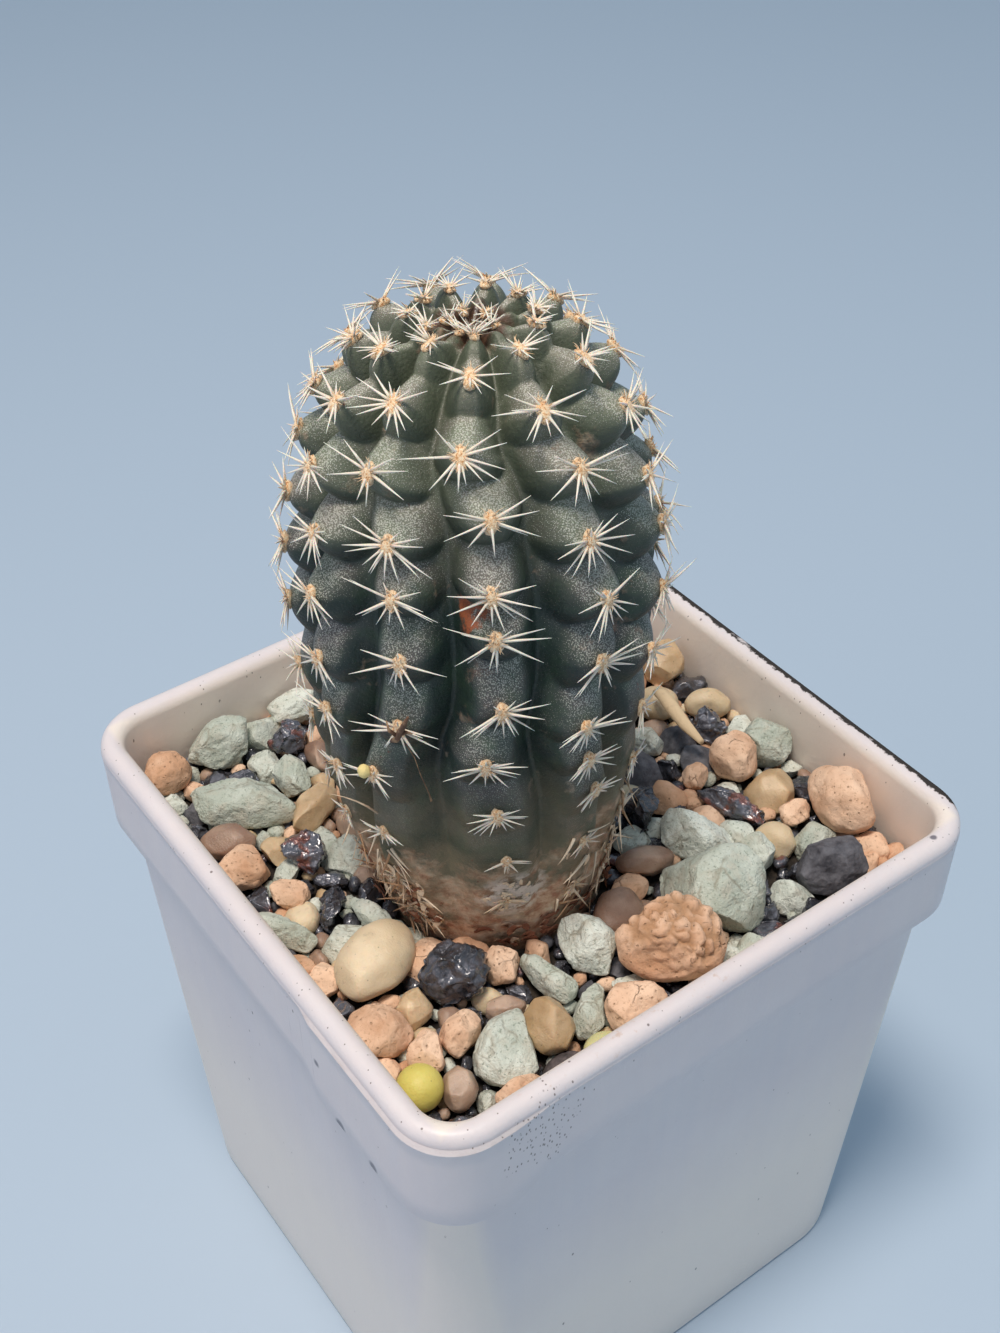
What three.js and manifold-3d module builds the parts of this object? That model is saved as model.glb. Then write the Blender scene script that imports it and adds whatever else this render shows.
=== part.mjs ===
// Round cactus in a square plastic pot, top-dressed with mixed stones.
// Millimetres, +Z up. The origin is the middle of the pot's standing face.
// The pot's sides face X and Y, and its corner towards -X -Y is the front one.

import * as THREE from "three";
import { mergeVertices } from "three/addons/utils/BufferGeometryUtils.js";
import Module from "manifold-3d";

const wasm = await Module();
wasm.setup();

// ---------------------------------------------------------------- dimensions

const CLEAR = 0.3; // gap between pieces that touch

// Pot: half-widths are measured from the middle to a flat side.
const POT_HEIGHT = 73.8;
const RIM_HALF = 35;
const RIM_THICK = 2.64;
const RIM_ROUND = 1.3; // rounding of the rim's upper edge
const BAND_FOOT = 62.2; // height of the lower edge of the band round the rim
const BAND_DEEPER = 1.8; // the moulded step drops the band this much
const UNDER_BAND_HALF = 33.5;
const BASE_HALF = 31.7;
const WALL = 1.6;
const FLOOR = 1.8;
const FLOOR_CHAMFER = [1.2, 1.5]; // inside, where floor meets wall: [across, up]
const BAND_CHAMFER = [0.25, 0.6]; // lower edge of the band
const BASE_CHAMFER = 0.8;
const RIM_CORNER = 6.4; // corner radius at the rim, and at the base
const BASE_CORNER = 9.3;
const DRAIN_RADIUS = 3.5;
const DRAIN_OFFSET = 15;

// Soil and stones: the stones lie side by side on the soil.
const SOIL_TOP = 64.5;
const SOIL_BUMP = 0.2; // depth of the hollows in its surface
const SOIL_EDGE_DROP = 1.2; // the surface falls this much towards the wall
const HOLE_CLEAR = 0.5; // the stem's hole has flat facets, so it is a little wider

// Cactus: it stands a little left of the pot's middle, as seen from the front.
const GROUND = 67; // level of the stones round the stem
const CACTUS_X = -6.4;
const CACTUS_Y = -1.9;
const FOOT_SHIFT = [0.9, -0.6]; // the foot's middle, from the middle of the body
const FOOT_HEIGHT = 16; // the shift fades out up to this height
const RIBS = 11;
const FIRST_RIB = 239.5; // bearing of the rib that faces the front, in degrees

// The outline through the tips of the tubercles: [height over the stones, radius].
const OUTLINE = [
  [0, 12.2], [5.2, 13.4], [11, 14.7], [18, 15.9], [26, 16.8], [34, 17.4], [42, 17.4],
  [49, 16.5], [55, 14.9], [59.5, 12.6], [62.6, 9.5], [64.2, 6.2], [64.5, 3.9], [63.8, 2], [63.3, 0],
];
// The stem below the stones narrows to a stub of taproot: [height, radius].
const ROOT = [[-26, 0], [-25, 2.2], [-17, 4.2], [-9, 9.4], [-3, 12]];

// Areoles on the ribs that the front shows, from its left edge to its right
// edge: [distance along the outline from the stones up, turn in degrees away
// from the rib's own bearing].
const AREOLES_IN_FRONT = {
  "-3": [
    [8, 6], [15, 8], [22, 10], [29.5, 12], [37.5, 12], [44, 12], [49.3, 11], [55.2, 8], [59.4, 5],
    [64.8, 3], [70, 0],
  ],
  "-2": [
    [8, 0], [15, 3], [22.5, 6], [30.3, 7], [36.5, 6.5], [43.5, 5.5], [49.8, 5.5], [54.9, -3],
    [61.1, -2.5], [66.9, -2], [71, 0],
  ],
  "-1": [
    [2.6, -8], [8.8, -8], [16.6, -8], [25.3, -7.5], [33.1, 4.5], [40.9, 6], [47.2, 4], [52.1, 2],
    [57.6, -8], [63.5, -7], [69.6, -8],
  ],
  "0": [
    [7.5, 4], [14.8, 4.5], [22.2, 1], [29.2, -2.5], [36.1, 2.5], [44, 1], [48.3, 0], [55, 0.5],
    [60.2, -9], [66.8, -5.5], [71.6, 0],
  ],
  "1": [
    [6, 3], [13.5, 4], [21.4, 4.5], [26.6, -0.5], [31.2, -3], [38.5, 1], [45, 3], [51.3, -1.5],
    [57.5, 0], [63, -7], [68.6, -0.5],
  ],
  "2": [
    [5, 0], [12, 0], [19.5, -2], [27, -4], [34, -3], [39.5, 5], [46.2, 7], [52.6, 0], [59.1, 2],
    [64.8, -1.5], [69.6, 5],
  ],
};
const AREOLES_PER_RIB = 11;
const LOWEST_AREOLE = 6;
const HIGHEST_AREOLE = 70;
const CLOSER_TOWARDS_TOP = 0.82; // areoles crowd together towards the crown

// Depths as [distance along the outline, depth]: of the furrows between the
// ribs, and of the notches between the tubercles of a rib.
const FURROW = [[0, 0.1], [10, 0.6], [20, 1.8], [32, 3], [60, 3.1], [66, 2.4], [70, 1.5], [73, 0.6]];
const NOTCH = [[0, 0.1], [12, 0.3], [20, 0.7], [30, 1.3], [40, 2], [60, 2], [68, 1.5], [72, 0.9]];

// Spines rise from a small round cushion, the areole. Each stands at a bearing
// round the areole, in degrees from straight up, and has a length.
const SPINES = [[28, 2.6], [72, 4.1], [122, 3.9], [180, 3.2], [-122, 3.9], [-72, 4.1]];
const AREOLE_RADIUS = 0.42;
const SPINE_LIFT = 17; // degrees away from the skin
const SPINE_SHARE = 0.4; // longest spine, as a share of the way to the next rib

// Stones that show, each with [middle x, middle y, length, width, height, turn].
const STONES = {
  cream_pebble: [
    [-24.4, -8.6, 9.8, 6.4, 5.4, 24],
    [24.1, 5, 4.8, 4, 3.8, -36],
    [29, 1.4, 5.4, 3.4, 3.6, -36],
  ],
  amber_pebble: [
    [-15.2, -25.3, 5.8, 5.2, 5.2, -36],
    [-24, -15, 5, 3.6, 3.8, 54],
    [29, 9.8, 5.4, 5, 5, 0],
    [-17.6, 14.6, 8.2, 3.8, 3.8, 28],
  ],
  yellow_pebble: [[-29.1, -23.6, 4.6, 4.6, 4.6, 0]],
  olive_pebble: [[-12, -29.4, 4.4, 3.4, 3.2, -10]],
  brown_pebble: [
    [-25.8, -25.2, 4.8, 3.4, 3.6, 54],
    [-16.9, -20.6, 4.4, 3.2, 3.2, -36],
    [-27.6, 15.4, 6.4, 4, 3.4, -36],
    [7, -13.4, 5.8, 3.2, 3.4, -22],
    [12, 20.5, 6, 4.6, 4, 20],
  ],
  zeolite: [
    [-10.9, -20.2, 8.6, 3.2, 3.2, -85],
    [-5.1, -19.4, 7, 5.4, 5.4, -100],
    [-10, -25.6, 8.6, 3.6, 3.4, 38],
    [-20.2, -24.5, 8.8, 6.6, 5, 54],
    [-20.9, -2.3, 6.8, 2.6, 2.6, -79],
    [-24, 20, 12.8, 5.8, 4.4, -40],
    [-17, 20, 6.6, 3.8, 3.6, -100],
    [-21.5, 29, 9, 5.2, 5.2, 0],
    [-10.6, 29.6, 7.4, 4, 4.4, -14],
    [-29.6, 1.4, 8.6, 3.2, 3.2, -66],
    [9.2, -21.8, 12.2, 9.2, 7, -40],
    [13.6, -14.2, 8.6, 5.6, 5, -63],
    [17.2, -19.4, 4.8, 4, 4, -36],
    [19.6, 1.2, 5, 3, 3, -76],
    [29, -8.2, 5.6, 5.2, 5.2, 0],
    [3.4, 24, 7.4, 5, 4.4, 10],
    [27.4, 24.4, 6.6, 5.2, 4.6, 80],
  ],
  lava: [
    [0.5, -24.6, 11, 8.6, 8, -36],
    [-6.9, -28.2, 6.8, 5, 5, -20],
    [-28.7, -15.9, 6.8, 5.2, 5, -36],
    [-14.2, -16, 4.8, 4, 4, -36],
    [-26.2, -20.4, 4.8, 4.2, 4, 20],
    [-22.2, -20.6, 5.4, 4.6, 4.2, -10],
    [-21.4, -29.2, 4.8, 3.6, 3.6, 0],
    [-28.6, 10.8, 6, 5, 4.8, -36],
    [-26.2, 5.2, 4.6, 3.8, 3.8, -36],
    [-28.4, 28.6, 6, 5.2, 4.8, 30],
    [24.8, -8, 5.8, 5.4, 5.6, 0],
    [19.8, -7, 4.4, 3.4, 3.6, 54],
    [29.2, -20.4, 9.4, 6.2, 7, 68],
    [24.6, -17.6, 4, 3.6, 3.4, 0],
    [20, 14.5, 6.4, 5.4, 5, 15],
    [-2, 30, 5.6, 4, 4.2, 0],
  ],
  slag: [
    [-18.9, -15.2, 7.8, 6.6, 6, -30],
    [-23.6, 1.2, 6.6, 3.2, 3.4, 47],
    [-14.4, 25.6, 5, 4.6, 4.4, 0],
    [-22, 8.4, 5.4, 4.8, 4.8, -36],
    [26.2, -1.8, 5.2, 4.6, 4.6, 0],
    [20.2, -13, 9.6, 3.4, 3.6, -72],
    [11.4, -7.6, 6.6, 3.8, 4.6, 47],
  ],
  charcoal: [
    [21.6, -26.4, 7.6, 6.4, 6, -20],
    [19.5, 25.5, 6.6, 5.2, 4.4, 40],
  ],
  bark_chip: [[-16.2, -29, 4.8, 2.4, 2.4, 6]],
};

// Smaller stones between them, which lie fast in the soil: [x, y, size].
const SMALL_STONES = [
  [-28.9, -27.6, 3.2], [-25.8, -29.2, 3.2], [-29.6, -19.6, 3], [-29.2, -5.6, 3.6], [-13.6, -20, 3.4],
  [-24.4, -3.6, 3.6], [-28.8, -9.6, 3], [-17.6, 28.6, 3.6], [-20.6, 24.6, 3.6], [-9.6, 25, 3],
  [1.6, -17.6, 3.4], [15.6, -8.8, 3.4], [29.4, -3.8, 3.2], [26.2, -12.6, 3.4], [30, -13.4, 3.4],
  [25.4, -22.6, 3.6], [26.6, -27.2, 3.8], [29.6, -28.4, 3.2], [12.8, -29, 3.6], [16.4, -25.4, 3.2],
  [16.4, -29.4, 3.4], [21.6, -21.2, 3.2], [26, 18, 4], [12, 27, 4], [30, 16, 3.6], [6, 15, 3.6],
  [24, 29, 4], [-29.6, 23, 3.6], [14, 4, 3.6], [18, 8, 3.4], [-6, 20, 3.6], [-12, 15, 3.4],
];

// ---------------------------------------------------------------- materials

const finish = (color, roughness) => new THREE.MeshStandardMaterial({ color, roughness, metalness: 0 });

const MATERIALS = {
  pot: finish("#e9dedd", 0.45),
  soil: finish("#3a332c", 0.95),
  cactus: finish("#36503f", 0.6),
  cream_pebble: finish("#cdb48a", 0.35),
  amber_pebble: finish("#a07a50", 0.3),
  yellow_pebble: finish("#dcc654", 0.4),
  olive_pebble: finish("#b4ad68", 0.4),
  brown_pebble: finish("#8d6f58", 0.4),
  zeolite: finish("#b4beae", 0.85),
  lava: finish("#d09c74", 0.9),
  slag: finish("#2b2a33", 0.3),
  charcoal: finish("#55545c", 0.85),
  bark_chip: finish("#3b302f", 0.8),
};

// ---------------------------------------------------------------- helpers

const radians = THREE.MathUtils.degToRad;
const lerp = THREE.MathUtils.lerp;

/** Seeded random numbers from 0 to 1. */
function seeded(seed) {
  let state = seed >>> 0;
  return () => {
    state = (state + 0x6d2b79f5) >>> 0;
    let mixed = Math.imul(state ^ (state >>> 15), 1 | state);
    mixed = (mixed + Math.imul(mixed ^ (mixed >>> 7), 61 | mixed)) ^ mixed;
    return ((mixed ^ (mixed >>> 14)) >>> 0) / 4294967296;
  };
}

/** The value at x of a line through [x, value] pairs. */
function along(pairs, x) {
  const last = pairs[pairs.length - 1];
  if (x <= pairs[0][0]) return pairs[0][1];
  if (x >= last[0]) return last[1];
  const k = pairs.findIndex((pair) => pair[0] > x);
  const [x0, y0] = pairs[k - 1];
  const [x1, y1] = pairs[k];
  return lerp(y0, y1, (x - x0) / (x1 - x0));
}

/** Leaves only position, with shared vertices merged. */
function welded(geometry) {
  const bare = geometry.clone();
  bare.deleteAttribute("normal");
  bare.deleteAttribute("uv");
  return mergeVertices(bare, 1e-4);
}

/** A closed three.js geometry as a solid for cutting and joining. */
function solid(geometry) {
  const mesh = welded(geometry);
  return new wasm.Manifold(new wasm.Mesh({
    numProp: 3,
    vertProperties: new Float32Array(mesh.attributes.position.array),
    triVerts: new Uint32Array(mesh.index.array),
  }));
}

/** A solid as a three.js geometry again. */
function geometryOf(body) {
  const mesh = body.getMesh();
  const geometry = new THREE.BufferGeometry();
  geometry.setAttribute("position", new THREE.BufferAttribute(mesh.vertProperties, 3));
  geometry.setIndex(new THREE.BufferAttribute(mesh.triVerts, 1));
  return geometry;
}

/** The largest connected body, without loose scraps. */
function largest(body) {
  return body.decompose().reduce((best, piece) => (piece.volume() > best.volume() ? piece : best));
}

/** A lathe whose vertices are set by place(column, row) => [x, y, z]. */
function shapedLathe(rows, columns, place) {
  const profile = Array.from({ length: rows }, (_, row) => new THREE.Vector2(
    row === 0 || row === rows - 1 ? 0 : 1,
    row,
  ));
  const lathe = new THREE.LatheGeometry(profile, columns);
  const { position } = lathe.attributes;
  for (let column = 0; column <= columns; column += 1) {
    for (let row = 0; row < rows; row += 1) {
      position.setXYZ(column * rows + row, ...place(column % columns, row));
    }
  }
  return lathe;
}

// ---------------------------------------------------------------- pot

const CORNER_STEPS = 5;
const SIDE_STOPS = [0.17, 0.34, 0.5, 0.66, 0.72, 0.86]; // two of them end the moulded step
const QUARTER = CORNER_STEPS + 1 + SIDE_STOPS.length;
const COLUMNS = 4 * QUARTER;

/** Point number `column` on a square with round corners, anticlockwise. */
function onSquare(column, half, corner) {
  const quarter = Math.floor(column / QUARTER);
  const step = column % QUARTER;
  const middle = half - corner;
  let x = half;
  let y = 0;
  if (step <= CORNER_STEPS) {
    const angle = radians(90 * step / CORNER_STEPS);
    x = middle + corner * Math.cos(angle);
    y = middle + corner * Math.sin(angle);
  } else {
    x = lerp(middle, -middle, SIDE_STOPS[step - CORNER_STEPS - 1]);
    y = half;
  }
  for (let turn = 0; turn < quarter; turn += 1) [x, y] = [-y, x];
  return [x, y];
}

const outerHalf = (z) => (z < BAND_FOOT ? lerp(BASE_HALF, UNDER_BAND_HALF, z / BAND_FOOT) : RIM_HALF);
const outerCorner = (z) => lerp(BASE_CORNER, RIM_CORNER, z / POT_HEIGHT);
const innerHalf = (z) => lerp(BASE_HALF - WALL, RIM_HALF - RIM_THICK, z / POT_HEIGHT);

/** Corner radius that keeps an inner line parallel to the outside. */
function cornerAt(half, z) {
  return Math.min(half, Math.max(outerCorner(z) - (outerHalf(z) - half), 1));
}

function potGeometry() {
  const inside = RIM_HALF - RIM_THICK;
  const top = POT_HEIGHT;
  const profile = [
    [0, 0],
    [BASE_HALF - BASE_CHAMFER, 0],
    [BASE_HALF, BASE_CHAMFER],
    [UNDER_BAND_HALF, BAND_FOOT],
    [RIM_HALF - BAND_CHAMFER[0], BAND_FOOT],
    [RIM_HALF, BAND_FOOT + BAND_CHAMFER[1]],
    [RIM_HALF, top - RIM_ROUND],
    [RIM_HALF - RIM_ROUND * 0.3, top - RIM_ROUND * 0.3],
    [RIM_HALF - RIM_ROUND, top],
    [inside + RIM_ROUND * 0.3, top - RIM_ROUND * 0.3],
    [inside, top - RIM_ROUND],
    [innerHalf(FLOOR + FLOOR_CHAMFER[1]), FLOOR + FLOOR_CHAMFER[1]],
    [innerHalf(FLOOR) - FLOOR_CHAMFER[0], FLOOR],
    [0, FLOOR],
  ];
  const bandRows = [3, 4, 5];
  const stepFrom = QUARTER + CORNER_STEPS + 5; // on the -X side
  const stepTo = 2 * QUARTER + CORNER_STEPS; // past the front corner
  const pot = shapedLathe(profile.length, COLUMNS, (column, row) => {
    const [half, z] = profile[row];
    const deeper = bandRows.includes(row) && column >= stepFrom && column <= stepTo;
    const [x, y] = onSquare(column, half, cornerAt(half, z));
    return [x, y, deeper ? z - BAND_DEEPER : z];
  });
  const drain = new THREE.CylinderGeometry(DRAIN_RADIUS, DRAIN_RADIUS, 4 * FLOOR, 16).rotateX(Math.PI / 2);
  let body = solid(pot);
  for (const [sx, sy] of [[1, 1], [-1, 1], [-1, -1], [1, -1]]) {
    body = body.subtract(solid(drain.clone().translate(sx * DRAIN_OFFSET, sy * DRAIN_OFFSET, 0)));
  }
  return geometryOf(body);
}

// ---------------------------------------------------------------- cactus

const outlineCurve = new THREE.SplineCurve(OUTLINE.map(([h, r]) => new THREE.Vector2(r, h)));
outlineCurve.arcLengthDivisions = 600;
const OUTLINE_LENGTH = outlineCurve.getLength();

/** Point and outward normal of the outline, at a distance along it. */
function outlineAt(distance) {
  const share = THREE.MathUtils.clamp(distance / OUTLINE_LENGTH, 0, 1);
  const point = outlineCurve.getPointAt(share);
  const tangent = outlineCurve.getTangentAt(Math.min(share, 0.999));
  return { r: point.x, h: point.y, nr: tangent.y, nh: -tangent.x };
}

/** The middle of the stem at a height over the stones. */
function axisAt(h) {
  const shift = Math.max(0, 1 - Math.max(h, 0) / FOOT_HEIGHT) ** 2;
  return [CACTUS_X + FOOT_SHIFT[0] * shift, CACTUS_Y + FOOT_SHIFT[1] * shift];
}

/** Each rib's areoles as [distance along the outline, turn from the rib's bearing]. */
function areolePlaces() {
  const random = seeded(11);
  return Array.from({ length: RIBS }, (_, rib) => {
    const fromFront = rib > RIBS / 2 + 0.5 ? rib - RIBS : rib;
    const seen = AREOLES_IN_FRONT[fromFront];
    if (seen) return seen;
    const start = LOWEST_AREOLE + 3.4 * (rib % 2);
    return Array.from({ length: AREOLES_PER_RIB }, (__, k) => {
      const share = (k / (AREOLES_PER_RIB - 1)) ** CLOSER_TOWARDS_TOP;
      return [lerp(start, HIGHEST_AREOLE, share) + (random() - 0.5), 0];
    });
  });
}

const AREOLES = areolePlaces();
// Across a rib: [place from its crest, share of the furrow]. Up a tubercle:
// [place from its areole to the next one, share of the notch].
const RIB_COLUMNS = [[-1, 1], [-0.55, 0.24], [0, 0], [0.55, 0.24]];
const TUBERCLE_ROWS = [[0, 0], [0.15, 1], [0.56, 0.42]];

/** A row on one rib: its distance along the outline, its turn and its share of the notch. */
function rowOnRib(rib, row) {
  const marks = [[0, AREOLES[rib][0][1]], ...AREOLES[rib], [OUTLINE_LENGTH, 0]];
  const k = Math.floor(row / TUBERCLE_ROWS.length);
  const [place, share] = TUBERCLE_ROWS[row % TUBERCLE_ROWS.length];
  const distance = lerp(marks[k][0], marks[k + 1][0], place);
  const turn = lerp(marks[k][1], marks[k + 1][1], place);
  return { distance, turn, share: k === 0 ? 0 : share };
}

/** A point of the skin: on rib `rib`, `side` from -1 to 1 across it, turned by `turn`. */
function skinPoint(rib, side, furrowShare, distance, notchShare, turn) {
  const at = outlineAt(distance);
  const furrow = along(FURROW, distance) * furrowShare;
  const notch = along(NOTCH, distance) * notchShare * (1 - side * side);
  const inward = furrow + notch;
  const bearing = radians(FIRST_RIB + (rib + side / 2) * (360 / RIBS) + turn);
  const r = Math.max(at.r - inward * at.nr, 0);
  const h = at.h - inward * at.nh;
  const [x, y] = axisAt(h);
  return [x + r * Math.cos(bearing), y + r * Math.sin(bearing), GROUND + h];
}

function stemGeometry() {
  const columns = RIBS * RIB_COLUMNS.length;
  const tubercleRows = (AREOLES_PER_RIB + 1) * TUBERCLE_ROWS.length - 1;
  const rows = ROOT.length + tubercleRows + 1;
  return shapedLathe(rows, columns, (column, row) => {
    const rib = Math.floor(column / RIB_COLUMNS.length);
    const [side, furrowShare] = RIB_COLUMNS[column % RIB_COLUMNS.length];
    if (row < ROOT.length) {
      const [h, r] = ROOT[row];
      const bearing = radians(FIRST_RIB + (rib + side / 2) * (360 / RIBS));
      const [x, y] = axisAt(h);
      return [x + r * Math.cos(bearing), y + r * Math.sin(bearing), GROUND + h];
    }
    if (row === rows - 1) {
      const top = outlineAt(OUTLINE_LENGTH);
      return [CACTUS_X, CACTUS_Y, GROUND + top.h];
    }
    const own = rowOnRib(rib, row - ROOT.length);
    if (side > -1) return skinPoint(rib, side, furrowShare, own.distance, own.share, own.turn);
    const other = rowOnRib((rib + RIBS - 1) % RIBS, row - ROOT.length);
    const middle = (own.distance + other.distance) / 2;
    return skinPoint(rib, side, furrowShare, middle, own.share, (own.turn + other.turn) / 2);
  });
}

/** Directions and lengths of an areole's spines, with the areole's own axes. */
function spinesAt(rib, distance, turn, random) {
  const at = outlineAt(distance);
  const bearing = radians(FIRST_RIB + rib * (360 / RIBS) + turn);
  const outward = new THREE.Vector3(at.nr * Math.cos(bearing), at.nr * Math.sin(bearing), at.nh);
  const sideways = new THREE.Vector3(-Math.sin(bearing), Math.cos(bearing), 0);
  const upward = new THREE.Vector3().crossVectors(outward, sideways);
  const toNextRib = 2 * Math.PI * at.r / RIBS;
  const spines = SPINES.map(([heading, length]) => {
    const angle = radians(heading + 8 * (random() - 0.5));
    const lift = radians(SPINE_LIFT + 8 * (random() - 0.5));
    const reach = Math.min(length * (0.92 + 0.16 * random()), SPINE_SHARE * toNextRib);
    return {
      angle,
      tip: new THREE.Vector3()
        .addScaledVector(upward, Math.cos(angle) * Math.cos(lift))
        .addScaledVector(sideways, Math.sin(angle) * Math.cos(lift))
        .addScaledVector(outward, Math.sin(lift))
        .multiplyScalar(reach),
    };
  });
  return { upward, sideways, spines };
}

/** The stem with a cushion set into each areole, and its faces drawn out as spines. */
function cactusGeometry() {
  const stem = welded(stemGeometry());
  const points = [];
  const { index } = stem;
  const source = stem.attributes.position;
  for (let k = 0; k < source.count; k += 1) {
    points.push(new THREE.Vector3().fromBufferAttribute(source, k));
  }
  let faces = [];
  for (let k = 0; k < index.count; k += 3) {
    faces.push([index.getX(k), index.getX(k + 1), index.getX(k + 2)]);
  }
  const random = seeded(5);
  AREOLES.forEach((marks, rib) => marks.forEach(([distance, turn]) => {
    const place = new THREE.Vector3(...skinPoint(rib, 0, 0, distance, 0, turn));
    const middle = points.findIndex((point) => point.distanceTo(place) < 1e-3);
    const { upward, sideways, spines } = spinesAt(rib, distance, turn, random);
    const round = faces.filter((face) => face.includes(middle));
    faces = faces.filter((face) => !face.includes(middle));
    const cushion = new Map();
    const onCushion = (corner) => {
      if (!cushion.has(corner)) {
        const spoke = points[corner].clone().sub(place).setLength(AREOLE_RADIUS);
        points.push(spoke.add(place));
        cushion.set(corner, points.length - 1);
      }
      return cushion.get(corner);
    };
    const sectors = round.map((face) => {
      const start = face.indexOf(middle);
      const [outerA, outerB] = [face[(start + 1) % 3], face[(start + 2) % 3]];
      const [innerA, innerB] = [onCushion(outerA), onCushion(outerB)];
      faces.push([innerA, outerA, outerB], [innerA, outerB, innerB]);
      const heading = points[innerA].clone().add(points[innerB]).addScaledVector(place, -2);
      return { innerA, innerB, angle: Math.atan2(heading.dot(sideways), heading.dot(upward)) };
    });
    const turnOf = (one) => (one.angle + 2 * Math.PI) % (2 * Math.PI);
    sectors.sort((one, other) => turnOf(one) - turnOf(other));
    spines.sort((one, other) => turnOf(one) - turnOf(other));
    sectors.forEach(({ innerA, innerB }, k) => {
      points.push(place.clone().add(spines[k].tip));
      const tip = points.length - 1;
      faces.push([middle, innerA, tip], [innerA, innerB, tip], [innerB, middle, tip]);
    });
  }));
  const geometry = new THREE.BufferGeometry().setFromPoints(points);
  geometry.setIndex(faces.flat());
  return geometry;
}

// ---------------------------------------------------------------- stones

const FACET_LOSS = 1.12; // makes up for what flat facets take off a round stone
const FEW_FACETS_BELOW = 2.6; // half-length of the stones that get the fewest facets
const STONE_OFF_STEM = 0.7; // gap between a stone and the stem

/** How each kind of stone is broken or worn: [waves, flat faces]. */
const SHAPES = {
  cream_pebble: [0.03, 0],
  amber_pebble: [0.06, 2],
  yellow_pebble: [0, 0],
  olive_pebble: [0.03, 0],
  brown_pebble: [0.06, 1],
  zeolite: [0.08, 6],
  lava: [0.1, 2],
  slag: [0.2, 3],
  charcoal: [0.12, 5],
  bark_chip: [0.05, 4],
};

const stones = Object.entries(STONES).flatMap(([kind, list]) => list.map((sizes, k) => {
  const [x, y, length, width, height, turn] = sizes;
  return {
    kind,
    name: `${kind}_${k + 1}`,
    middle: new THREE.Vector3(x, y, SOIL_TOP + CLEAR + FACET_LOSS * height / 2),
    half: new THREE.Vector3(length, width, height).multiplyScalar(0.5 * FACET_LOSS),
    turn: radians(turn),
  };
}));

const smallStones = SMALL_STONES.map(([x, y, size], k) => ({
  kind: "lava",
  middle: new THREE.Vector3(x, y, SOIL_TOP + 0.2 * size),
  half: new THREE.Vector3(size / 2, 0.44 * size, 0.4 * size),
  turn: k,
}));

/** How far a stone reaches from its middle in a direction. */
function reachOf(stone, direction) {
  const local = direction.clone().applyAxisAngle(new THREE.Vector3(0, 0, 1), -stone.turn);
  return local.multiply(stone.half).length();
}

/** Flat limits that keep a stone off its neighbours, the pot and the stem. */
function limitsOf(stone) {
  const limits = [...stones, ...smallStones].filter((other) => other !== stone).map((other) => {
    const direction = other.middle.clone().sub(stone.middle);
    const apart = direction.length();
    direction.normalize();
    const own = reachOf(stone, direction);
    return { direction, limit: own + (apart - CLEAR - own - reachOf(other, direction)) / 2 };
  });
  const wall = innerHalf(SOIL_TOP) - CLEAR;
  const corner = cornerAt(wall, SOIL_TOP);
  for (let bearing = 0; bearing < 360; bearing += 22.5) {
    const angle = radians(bearing);
    const direction = new THREE.Vector3(Math.cos(angle), Math.sin(angle), 0);
    const support = (wall - corner) * (Math.abs(direction.x) + Math.abs(direction.y)) + corner;
    limits.push({ direction, limit: support - stone.middle.dot(direction) });
  }
  const top = stone.middle.z + stone.half.z - GROUND;
  const [stemX, stemY] = axisAt(Math.max(top, 0));
  const toStem = new THREE.Vector3(stemX - stone.middle.x, stemY - stone.middle.y, 0);
  const stemRadius = along(OUTLINE, top) + STONE_OFF_STEM;
  limits.push({ direction: toStem.clone().normalize(), limit: toStem.length() - stemRadius });
  return limits;
}

/** A stone about its own middle, worn or broken, and trimmed to its limits. */
function stoneGeometry(stone, index) {
  const [waves, faces] = SHAPES[stone.kind];
  const random = seeded(100 + index);
  const large = Math.max(stone.half.x, stone.half.y) > FEW_FACETS_BELOW;
  const geometry = welded(new THREE.IcosahedronGeometry(1, large ? 1 : 0));
  const cuts = Array.from({ length: faces }, () => ({
    direction: new THREE.Vector3(random() - 0.5, random() - 0.5, random() * 0.9 - 0.2).normalize(),
    depth: 0.62 + 0.2 * random(),
  }));
  const limits = limitsOf(stone);
  const { position } = geometry.attributes;
  const point = new THREE.Vector3();
  for (let k = 0; k < position.count; k += 1) {
    point.fromBufferAttribute(position, k);
    point.multiplyScalar(1 - waves * random());
    for (const cut of cuts) {
      const reach = point.dot(cut.direction);
      if (reach > cut.depth) point.multiplyScalar(cut.depth / reach);
    }
    point.multiply(stone.half).applyAxisAngle(new THREE.Vector3(0, 0, 1), stone.turn);
    for (const { direction, limit } of limits) {
      const reach = point.dot(direction);
      if (reach > limit) point.multiplyScalar(limit / reach);
    }
    position.setXYZ(k, point.x, point.y, point.z);
  }
  return geometry;
}

// ---------------------------------------------------------------- soil

/** Uneven surface of the soil, from a few crossing waves. */
function soilHeight(x, y) {
  const wave = Math.sin(x * 0.9 + 1.3 * Math.sin(y * 0.5)) * Math.cos(y * 0.8 + Math.sin(x * 0.6));
  return SOIL_TOP + SOIL_BUMP * (wave - 1);
}

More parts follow.
